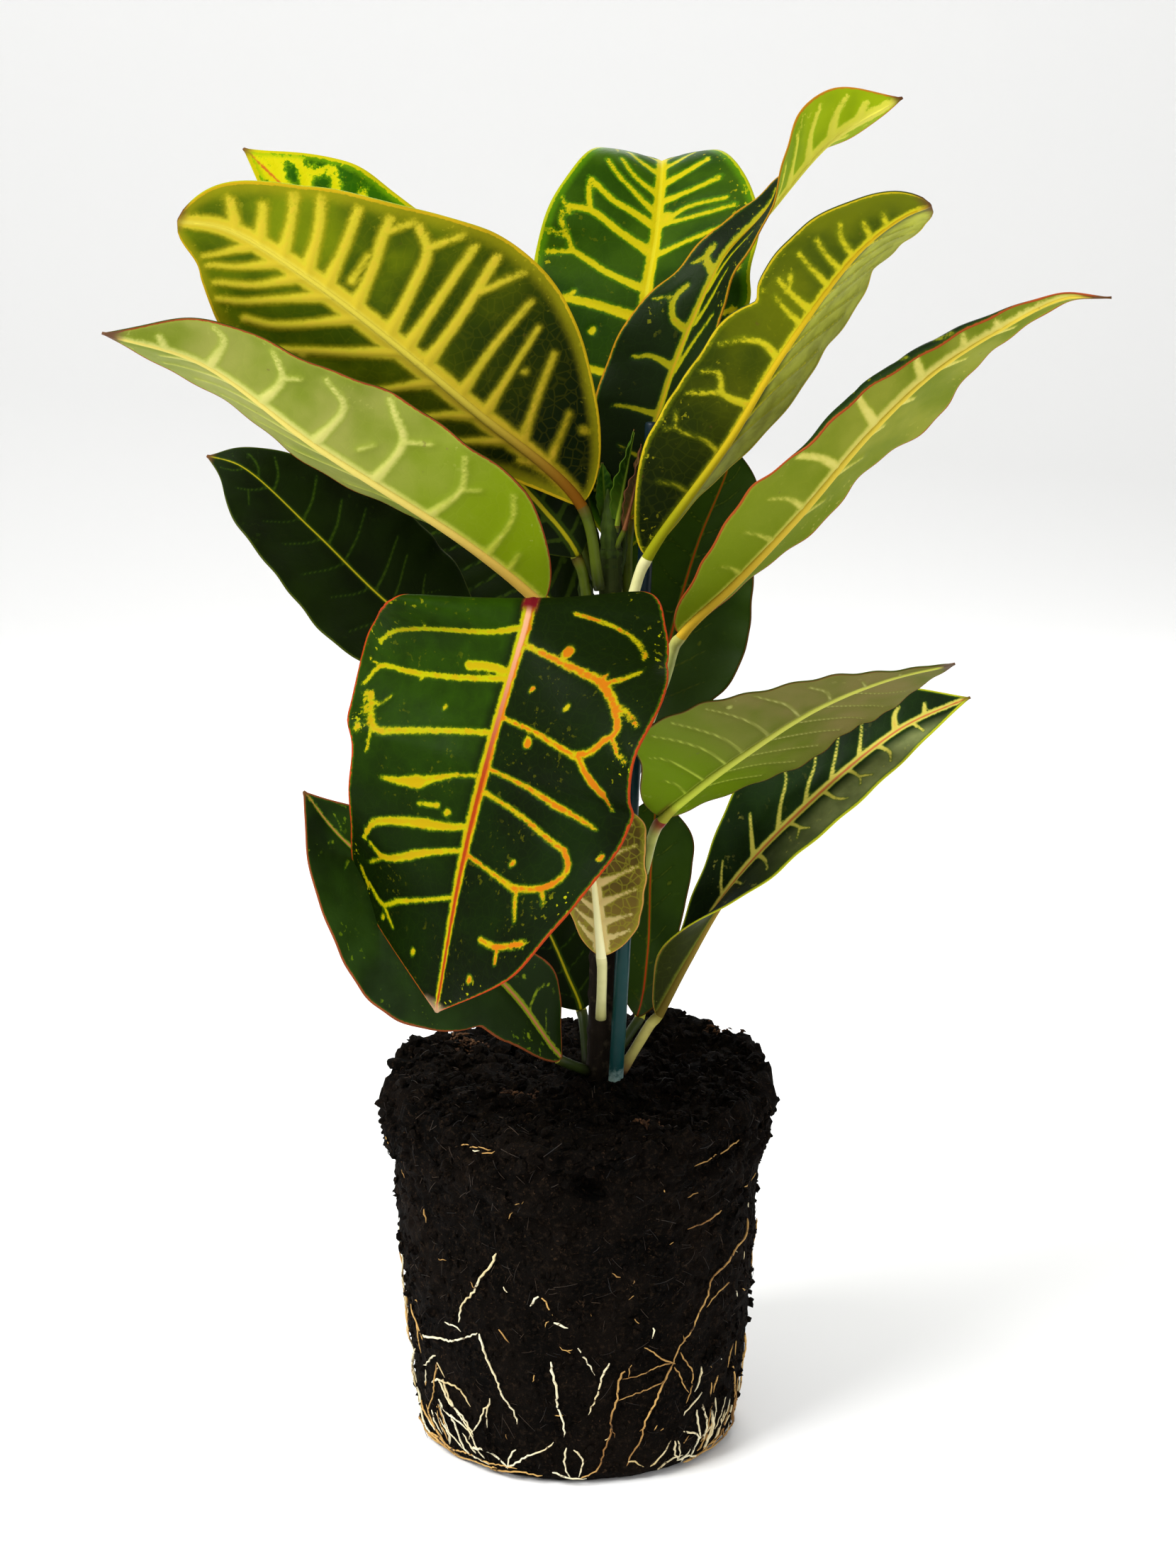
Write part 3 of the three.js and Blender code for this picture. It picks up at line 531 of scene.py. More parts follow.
def root_run(width, stops, tan=False):
    """One root along the ball's skin: it winds and kinks, and dips into the peat here and there."""
    stops = np.array(stops, float)
    steps = np.hypot(np.diff(stops[:, 0]) * 0.9, np.diff(stops[:, 1]))
    reach = np.concatenate([[0], np.cumsum(steps)])
    s = np.linspace(0, reach[-1], max(4, int(reach[-1] / ROOT_STEP)))
    a, z = np.interp(s, reach, stops[:, 0]), np.interp(s, reach, stops[:, 1])
    for _ in range(2):
        a[1:-1] = (a[:-2] + 2 * a[1:-1] + a[2:]) / 4
        z[1:-1] = (z[:-2] + 2 * z[1:-1] + z[2:]) / 4
    phase = dice.uniform(0, 6)
    a = a + 0.4 * np.sin(s * 0.55 + phase) + 0.25 * np.sin(s * 2.1 + phase * 5)
    z = z + 0.3 * np.sin(s * 0.4 + phase * 2) + 0.2 * np.sin(s * 2.6 + phase * 4)
    sink = 0.25 * width * np.sin(s * 0.45 + phase * 3)
    line = side_point(a, np.maximum(z, LOWEST_ROOT), lift=0.6 + 0.3 * width + sink, fine=False)
    radii = 0.4 * width * (1 - 0.4 * s / (s[-1] + 1e-6)) * (1 + 0.16 * np.sin(s * 1.7 + phase))
    radii[0] *= 0.5
    radii[-1] *= 0.4
    line[:, 2] = np.maximum(line[:, 2], radii + 0.02)
    before = len(faces)
    rod_mesh(line, radii, ROOT_SIDES, verts, faces)
    tan_sides.extend([int(tan)] * (len(faces) - before))


for row in ROOTS.strip().split("\n"):
    kind, *words = row.split()
    width, *numbers = [float(q) for q in words]
    root_run(width, list(zip(numbers[0::2], numbers[1::2])), kind == "t")
# the ring round the bottom edge: several long roots, laid over each other
for _ in range(RING_ROOTS):
    start, low = dice.uniform(0, 360), dice.uniform(1.0, 3.4)
    stops = [(start + q * 9, max(0.7, low + dice.uniform(-1.4, 1.8))) for q in range(dice.randint(3, 7))]
    root_run(dice.uniform(*RING_WIDTHS), stops, dice.random() < 0.6)
for middle, spread, count, lean_low, lean_high in TANGLES:
    for _ in range(count):
        a, z = middle + dice.uniform(-spread, spread), 1.2 + 8 * dice.random() ** 1.5
        lean, tall = dice.uniform(lean_low, lean_high), dice.uniform(*TANGLE_HEIGHTS)
        bow = dice.uniform(-2, 2)
        stops = [(a, z), (a + lean * 0.5 + bow, z + tall * 0.5), (a + lean, z + tall)]
        root_run(dice.uniform(*TANGLE_WIDTHS), stops, dice.random() < 0.4)
# the sides and the back, in the manner of the front
for _ in range(CLIMBING_ROOTS):
    a, z = dice.uniform(5, 188), 2 + 62 * dice.random() ** 2.2
    stops = [(a, z)]
    for _ in range(dice.randint(2, 5)):
        a, z = a + dice.uniform(-7, 7), z + dice.uniform(3, 10)
        stops.append((a, z))
    root_run(dice.uniform(*CLIMBING_WIDTHS), stops, dice.random() < 0.5)
# short ends that show between the crumbs
for _ in range(ROOT_ENDS):
    a, z = dice.uniform(0, 360), 8 + 86 * dice.random() ** 1.4
    width = dice.uniform(*END_WIDTHS)
    end = (a + dice.uniform(-3, 3), z + dice.uniform(-2.5, 2.5))
    root_run(width, [(a, z), end], dice.random() < 0.6)


def root_skin(name, young, aged):
    """Finish of roots: young and aged skin in patches, with soil in its pores."""
    finish, tree, shader = new_finish(name)
    where = put(tree, "ShaderNodeTexCoord").outputs["Object"]
    soil = grain(tree, where, 520, 4, 0.7)
    old = stretch(tree, grain(tree, where, 55, 3), 0.42, 0.66)
    tone = blend(tree, paint(*young), paint(*aged), old)
    tone = blend(tree, tone, paint(74, 54, 34), stretch(tree, soil, 0.55, 0.64))
    relief = emboss(tree, soil, strength=0.5, distance=0.0003)
    feed(tree, shader, {"Base Color": tone, "Normal": relief, "Roughness": 0.75, "Specular IOR Level": 0.2})
    return finish


cream_skin = root_skin("cream root skin", (236, 228, 194), (204, 180, 124))
tan_skin = root_skin("tan root skin", (202, 160, 92), (138, 98, 52))
roots = place_mesh("roots", verts, faces, [cream_skin, tan_skin])
roots.data.polygons.foreach_set("material_index", np.array(tan_sides, np.int32))
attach(roots, "root")
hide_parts("root_net")


# Stem: the woody shoot, brown and ringed where old leaves fell off, green at the tip. It stands in
# the peat and carries every leaf.
STEM_LOW, STEM_SOIL, STEM_TOP = np.array([6.2, 0, 62]), np.array([7, 0, 107]), np.array([9.6, 0, 263])
STEM_TIP, STEM_RING_TO, STEM_STEP = (9.6, 0, 264.6), 264.1, 1.0
STEM_RADIUS_LOW, STEM_RADIUS_TOP, STEM_SIDES = 4.7, 3.3, 28
SCAR_STEP, SCAR_SHARPNESS = 11, 1.2
rings = []
a = np.linspace(0, 2 * math.pi, STEM_SIDES, endpoint=False)
for z in np.arange(STEM_LOW[2], STEM_RING_TO, STEM_STEP):
    f = (z - STEM_SOIL[2]) / (STEM_TOP[2] - STEM_SOIL[2])
    if f > 0:
        x = STEM_SOIL[0] + (STEM_TOP[0] - STEM_SOIL[0]) * f
    else:
        x = STEM_LOW[0] + (STEM_SOIL[0] - STEM_LOW[0]) * (z - STEM_LOW[2]) / (STEM_SOIL[2] - STEM_LOW[2])
    r = STEM_RADIUS_LOW + (STEM_RADIUS_TOP - STEM_RADIUS_LOW) * max(f, 0)
    scar = math.exp(-((z - 6) % SCAR_STEP - SCAR_STEP / 2) ** 2 / SCAR_SHARPNESS)
    level = np.full(STEM_SIDES, z)
    cork = clods(np.stack([r * np.cos(a), r * np.sin(a), level], -1), 2.5, 11)
    r = r * (0.93 + 0.09 * scar + 0.05 * cork + 0.03 * np.sin(7 * a + 0.5 * math.sin(z * 0.3)))
    rings.append(np.stack([x + r * np.cos(a), r * np.sin(a), level], -1))
verts, faces = skin_over(rings, STEM_LOW, STEM_TIP)
bark_finish, tree, shader = new_finish("stem bark")
where = put(tree, "ShaderNodeTexCoord").outputs["Object"]
height = put(tree, "ShaderNodeSeparateXYZ", {0: where}).outputs["Z"]
long_way = put(tree, "ShaderNodeMapping", {"Vector": where, "Scale": (1, 1, 0.16)}).outputs[0]
streaks = grain(tree, long_way, 620, 4, 0.65)
tone = blend(tree, paint(13, 10, 7), paint(40, 31, 22), streaks)
tone = blend(tree, tone, paint(66, 58, 44), stretch(tree, grain(tree, where, 260, 3), 0.56, 0.7))
tone = blend(tree, tone, paint(44, 54, 18), stretch(tree, height, 0.215, 0.262))
relief = emboss(tree, streaks, strength=0.7, distance=0.0005)
feed(tree, shader, {"Base Color": tone, "Normal": relief, "Roughness": 0.8, "Specular IOR Level": 0.1})
stem = place_mesh("stem_wood", verts, faces, [bark_finish])
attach(stem, "root")
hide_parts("stem")

# the growing tip: tightly rolled young leaves that stand round the end of the stem, each with its
# radius and its points from foot to tip
TIP_SHOOTS = [(3.2, [(9.6, 0, 258), (9.5, -0.2, 266), (9.2, -0.8, 274), (8.6, -1.2, 281)]),
              (2.2, [(8.4, 1.6, 254), (5.2, 2.6, 263), (3.1, 3.4, 272), (2.1, 3.4, 282)]),
              (2, [(11, 1.8, 256), (12.6, 3, 264), (13, 3.8, 272), (12.8, 4, 279)]),
              (2.9, [(7.4, 2.4, 236), (4, 4, 244), (2, 5, 252), (1.2, 5.4, 260)])]
SHOOT_SHAPE, SHOOT_SIDES = ([0, 0.2, 0.55, 0.85, 1], [0.9, 1, 0.85, 0.4, 0.08]), 14
verts, faces = [], []
share = np.linspace(0, 1, 25)
for radius, shoot in TIP_SHOOTS:
    places = np.linspace(0, 1, len(shoot))
    points = np.stack([np.interp(share, places, axis) for axis in np.array(shoot).T], -1)
    radii = radius * np.interp(share, *SHOOT_SHAPE) * (1 + 0.06 * np.sin(share * 40))
    rod_mesh(points, radii, SHOOT_SIDES, verts, faces)
shoot_finish, tree, shader = new_finish("rolled young leaf")
where = put(tree, "ShaderNodeTexCoord").outputs["Object"]
long_way = put(tree, "ShaderNodeMapping", {"Vector": where, "Scale": (1, 1, 0.2)}).outputs[0]
streaks = grain(tree, long_way, 500, 4)
tone = blend(tree, paint(24, 36, 7), paint(58, 76, 14), stretch(tree, streaks, 0.35, 0.65))
relief = emboss(tree, streaks, strength=0.4, distance=0.0004)
feed(tree, shader, {"Base Color": tone, "Normal": relief, "Roughness": 0.6, "Specular IOR Level": 0.15})
tip_shoots = place_mesh("tip_shoots", verts, faces, [shoot_finish])
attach(tip_shoots, "root")


# Cane: a thin extruded plastic rod, teal, with fine ribs along it, a rounded top end, and dried
# lime where wet peat splashed on it. Higher up the teal is painted dark navy: painted shade under
# the leaves. It is pushed into the peat beside the stem.
CANE_LOW, CANE_TOP, CANE_RADIUS = np.array([6.8, -9.3, 26]), np.array([21.2, -3.6, 300]), 2.15
CANE_SIDES, CANE_STEPS, RIB_DEPTH, CANE_ROUNDING = 32, 120, 0.025, 0.9
# the rounded end: how far below the top, and share of the radius
CANE_END = ((-0.35, 0.93), (-0.1, 0.75), (0.0, 0.4))
axis = (CANE_TOP - CANE_LOW) / np.linalg.norm(CANE_TOP - CANE_LOW)
across = np.cross(axis, (0, 1, 0))
across /= np.linalg.norm(across)
a = np.linspace(0, 2 * math.pi, CANE_SIDES, endpoint=False)
circle = np.cos(a)[:, None] * across + np.sin(a)[:, None] * np.cross(axis, across)
rings = []
for i in range(CANE_STEPS + 1):
    middle = CANE_LOW + (CANE_TOP - CANE_LOW) * i / CANE_STEPS
    r = CANE_RADIUS * (1 - RIB_DEPTH * (np.arange(CANE_SIDES) % 2)) * (1 + 0.012 * math.sin(i * 0.9))
    rings.append(middle + r[:, None] * circle)
rings[-1] = rings[-1] - axis * CANE_ROUNDING
for lift, share in CANE_END:
    rings.append(CANE_TOP + axis * lift + CANE_RADIUS * share * circle)
verts, faces = skin_over(rings, CANE_LOW, CANE_TOP)
cane_finish, tree, shader = new_finish("teal plastic")
where = put(tree, "ShaderNodeTexCoord").outputs["Object"]
height = put(tree, "ShaderNodeSeparateXYZ", {0: where}).outputs["Z"]
scuffs = grain(tree, where, 380, 5, 0.7)
splashed = stretch(tree, height, 0.119, 0.108)
lime = put(tree, "ShaderNodeMath", {0: splashed, 1: scuffs}, operation="MULTIPLY").outputs[0]
# painted shade: above 0.14 m the teal turns to dark navy, where the leaves shade the cane
tone = blend(tree, paint(2, 58, 58), paint(2, 24, 34), stretch(tree, height, 0.14, 0.24))
tone = blend(tree, tone, paint(140, 166, 162), stretch(tree, lime, 0.24, 0.5))
gloss = stretch(tree, scuffs, 0.3, 0.75, 0.28, 0.6)
relief = emboss(tree, scuffs, strength=0.25, distance=0.0002)
feed(tree, shader, {"Base Color": tone, "Normal": relief, "Roughness": gloss, "Specular IOR Level": 0.22})
cane = place_mesh("cane_rod", verts, faces, [cane_finish])
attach(cane, "root")
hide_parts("cane")


# Leaves: tough, leathery blades on round stalks, each with a midrib that stands out below, side
# veins that fork before the margin, and yellow that spreads along the veins.
LINE_STEPS, LEAF_STEP, YOUNG_STEP, LEAST_HALF = 24, 1.0, 0.5, 0.35
STALK_RADIUS, STALK_SINK, STALK_SIDES, YOUNG_STALK_SIDES, YOUNG_FOOT = 1.8, 1.2, 14, 8, 264.2
# half the blade's thickness at its margin, and how much more further in
MARGIN_HALF, INNER_MORE = 0.22, 0.1
# how high the midrib stands out above and the veins below, and how wide; the young leaves have less
RIDGE_HEIGHT, RIDGE_WIDTH, VEIN_HEIGHT, VEIN_WIDTH, YOUNG_RELIEF = 0.35, 0.9, 0.18, 0.6, 0.15
# small ripples of the margin: their height, and how many there are to one of its waves
RIPPLE_HEIGHT, RIPPLES = 0.35, 3.3
# Measures of each leaf, in mm and degrees. foot: direction round the stem and height of the stalk's
# foot, or for a young leaf top: its place on the stem's end. path: points of the midrib; the blade
# starts at number base. left, right: half widths from stalk to tip; shoulder and blunt round the two
# ends. roll: turn about the midrib. fold, curl, hem: how the halves are raised, how they bend, and
# how the margin rolls in. wave, waves, phase: height, number and start of the margin's waves.
# notches: half, place, depth and width of bites in the margin. stalk: radius.
LEAVES = {
    "leaf_back_left": dict(
        foot=(150, 256), path=[(-3, 10, 275), (-40, 24, 320), (-82, 34, 362), (-97, 38, 376)],
        left=[20, 28, 26, 18, 10], right=[20, 28, 30, 23, 18], roll=[-50, -60], fold=[10], wave=1,
        waves=2.5, phase=0.3),
    "leaf_top_left": dict(
        foot=(-128, 254), path=[(1, -8, 277), (-29, -22, 305), (-69, -42, 339), (-91, -50, 353),
        (-103, -54, 355)], blunt=0.55, left=[29, 40, 40, 31, 20], right=[10, 22, 30, 31, 26],
        roll=[75, 65, 50], fold=[10], wave=0.7, waves=2, phase=0.1),
    "leaf_long_left": dict(
        foot=(-160, 230), path=[(-10, -14, 250), (-29, -22, 267), (-71, -34, 296), (-100, -40, 318),
        (-125, -46, 326)], left=[22, 26, 26, 21, 14], right=[5, 16, 20, 21, 18], roll=[45, 45, 35],
        foldLeft=[15], foldRight=[50, 35, 20], wave=0.8, waves=2.5, phase=0.6),
    "leaf_dark_left": dict(
        foot=(178, 188), path=[(-30, -1, 229), (-55, -2, 249), (-75, -2, 269), (-95, 0, 287),
        (-105, 2, 290)], left=[20, 26, 24, 21, 15], right=[22, 26, 25, 20, 11], roll=[-45], fold=[12],
        wave=0.8, waves=2.5, phase=0.2),
    "leaf_back_low_left": dict(
        foot=(125, 214), path=[(0, 16, 239), (-32, 34, 260), (-56, 44, 278)], left=[20, 25, 22, 12],
        right=[20, 25, 22, 12], roll=[-40], fold=[10], wave=1.2, waves=2, phase=0.5),
    "leaf_upright": dict(
        foot=(70, 234), path=[(13, 12, 262), (17, 24, 302), (20, 32, 333), (23, 40, 351), (25, 56, 371.5),
        (25, 84, 371)], left=[18, 27, 33, 34.5, 30, 17], right=[18, 26, 33, 34, 28, 13], roll=[0],
        fold=[10, 14, 18], wave=0.8, waves=2.5, phase=0.4),
    "leaf_twisted": dict(
        foot=(20, 240), path=[(15, 4, 272), (23, 4, 301), (29, 4, 319), (35, 5, 333), (42, 6, 346),
        (52, 8, 356), (71, 11, 377), (91, 12, 389)], left=[16, 19, 17, 10, 7, 8, 8],
        right=[8, 11, 12, 13, 15, 19, 15], roll=[70, 65, 60, 50, 30, 5, -25, -55, -65],
        foldLeft=[20, 20, 20, 30, 45, 40, 30], foldRight=[20, 25, 25, 20, 10, 5, 5], wave=0.5, waves=3,
        phase=0.1),
    "leaf_right": dict(
        foot=(-62, 237), path=[(15.5, -9, 251), (19.5, -12, 263), (42, -24, 297), (55, -34, 320),
        (74, -44, 347), (85, -48, 356), (92, -50, 359)], base=1, blunt=0.5, left=[8, 17, 24, 35, 32],
        right=[17, 21, 20, 20, 19], roll=[-50, -40, -30], foldLeft=[45, 45, 45, 40, 20], foldRight=[5],
        wave=1.2, waves=3, phase=0.45, notches=[("R", 0.63, 5, 0.035), ("L", 0.76, 6, 0.04)]),
    "leaf_front": dict(
        foot=(-125, 200), path=[(-8, -30, 242.5), (-11, -40, 253), (-12, -49, 255.6), (-14, -56, 248),
        (-24, -60, 213), (-31, -62, 184), (-38, -62, 145)], base=1, shoulder=(0.12, 0.35),
        left=[39.5, 48, 47, 40.5, 32], right=[40, 54, 42, 41, 41.5],
        roll=[16, -14, -34, -40, -40, -40, -40, -40, -40], fold=[-3, 2, 5, 5, 5], wave=0.8, waves=2,
        phase=0.2),
    "leaf_long_right": dict(
        foot=(0, 197), path=[(25, -4, 227), (29, -12, 241), (44, -18, 257), (62, -22, 277),
        (80, -26, 299), (96, -30, 315), (112, -34, 326), (130, -36, 335), (142, -38, 335)], base=1,
        left=[7, 15, 19, 26, 17, 7], right=[16, 22, 21.5, 16.5, 11, 4], roll=[-27], foldLeft=[10],
        foldRight=[10, 10, 20, 40, 50, 30], curlRight=[-5, -5, -20, -40, -40, -20],
        hemRight=[0, 0, 0, -90, -150, -130, -60], wave=1, waves=3.5, phase=0.3),
    "leaf_dark_right": dict(
        foot=(50, 184), path=[(21, 14, 209), (29, 26, 240), (36, 34, 262), (44, 44, 280), (47, 50, 289)],
        left=[20, 25, 25, 23, 18, 12], right=[20, 25, 25, 23, 18, 12], roll=[10], fold=[10], wave=1,
        waves=2.5, phase=0.7),
    "leaf_low_right": dict(
        foot=(5, 152), path=[(19, -3, 170), (24, -16, 189), (34, -20, 199), (47, -26, 210),
        (66, -34, 224), (85, -40, 233), (102, -46, 238)], base=1, left=[16, 24, 26, 26, 16],
        right=[29, 27, 20, 10, 4], roll=[-32], fold=[10], wave=0.8, waves=3, phase=0.2),
    "leaf_right_lowest": dict(
        foot=(-10, 110), path=[(23, -5, 128), (31, -7, 144), (43, -8, 165), (61, -8, 186), (92, -4, 212),
        (113, 0, 221)], left=[6, 12, 19, 22, 14], right=[11, 13, 12, 12.5, 9], roll=[30, 40, 40],
        foldLeft=[20], foldRight=[110, 95, 55, 25, 15, 10, 10, 10, 10], wave=0.8, waves=2.5, phase=0.6),
    "leaf_dark_low": dict(
        foot=(60, 111), path=[(18, 15, 121), (21, 22, 138), (22, 30, 161), (24, 38, 185)],
        left=[10, 9, 11, 13, 12], right=[10, 9, 11, 13, 12], roll=[0], fold=[12], wave=0.8, waves=2,
        phase=0.3),
    "leaf_small_front": dict(
        foot=(-95, 128), path=[(7, -11, 147), (5, -14, 170), (2, -18, 188), (1, -20, 200)],
        left=[13, 16, 18.5, 18], right=[12, 16, 13, 9], roll=[0], fold=[10], wave=0.5, waves=2, phase=0.1,
        stalk=1.7),
    "leaf_low_left": dict(
        foot=(-150, 110), path=[(-5, -10, 116), (-18, -16, 136), (-41, -23, 162), (-67, -29, 187),
        (-76, -32, 200)], left=[14, 27, 37, 33, 20], right=[14, 12, 18, 18, 12], roll=[-60], fold=[15],
        wave=1, waves=3, phase=0.55, notches=[("L", 0.27, 5, 0.05)]),
    "leaf_behind_low": dict(
        foot=(130, 110), path=[(1, 12, 124), (-3, 16, 133), (-9, 20, 146), (-21, 26, 166)],
        left=[12, 16, 16, 14, 9], right=[12, 16, 16, 14, 9], roll=[-30], fold=[12], wave=0.8, waves=2,
        phase=0.8),
    "leaf_under_left": dict(
        foot=(178, 240), path=[(0, -3, 262), (-12, -3, 278), (-25, -3, 291), (-37, -4, 302)],
        left=[12, 18, 16, 9], right=[12, 18, 16, 9], roll=[-75], fold=[15], wave=0.6, waves=2, phase=0.4),
    "leaf_back_middle": dict(
        foot=(80, 168), path=[(10, 20, 190), (10, 46, 212), (6, 76, 228), (0, 102, 230)],
        left=[20, 26, 24, 14], right=[20, 26, 24, 14], roll=[0], fold=[12], wave=1.2, waves=2.5, phase=0.2),
    "leaf_back_low": dict(
        foot=(135, 156), path=[(-2, 11, 171), (-16, 34, 188), (-28, 58, 198), (-36, 80, 200)],
        left=[15, 21, 19, 12], right=[15, 21, 19, 12], roll=[-10], fold=[12], wave=1, waves=2.5, phase=0.6),
    "leaf_young_tall": dict(
        top=(1.2, 0.4), path=[(11, -2, 271), (13, -4, 283), (16, -5, 298)], left=[3, 4.5, 3.5, 2],
        right=[3, 4.5, 3.5, 2], roll=[10], fold=[25], wave=0.2, waves=2, phase=0, stalk=1.0),
    "leaf_young_left": dict(
        top=(-1.6, 1.2), path=[(8, 2, 271), (7.5, 3, 279), (7, 4, 288)], left=[3, 3.5, 3, 2],
        right=[3, 3.5, 3, 2], roll=[0], fold=[25], wave=0.2, waves=2, phase=0.5, stalk=0.9),
    "leaf_young_red": dict(
        top=(1.4, -2.0), path=[(13, -4, 270), (16, -6, 282), (18, -6, 294)], left=[2, 3, 2.5, 1.5],
        right=[2, 3, 2.5, 1.5], roll=[0], fold=[25], wave=0.2, waves=2, phase=0.2, stalk=0.9),
}

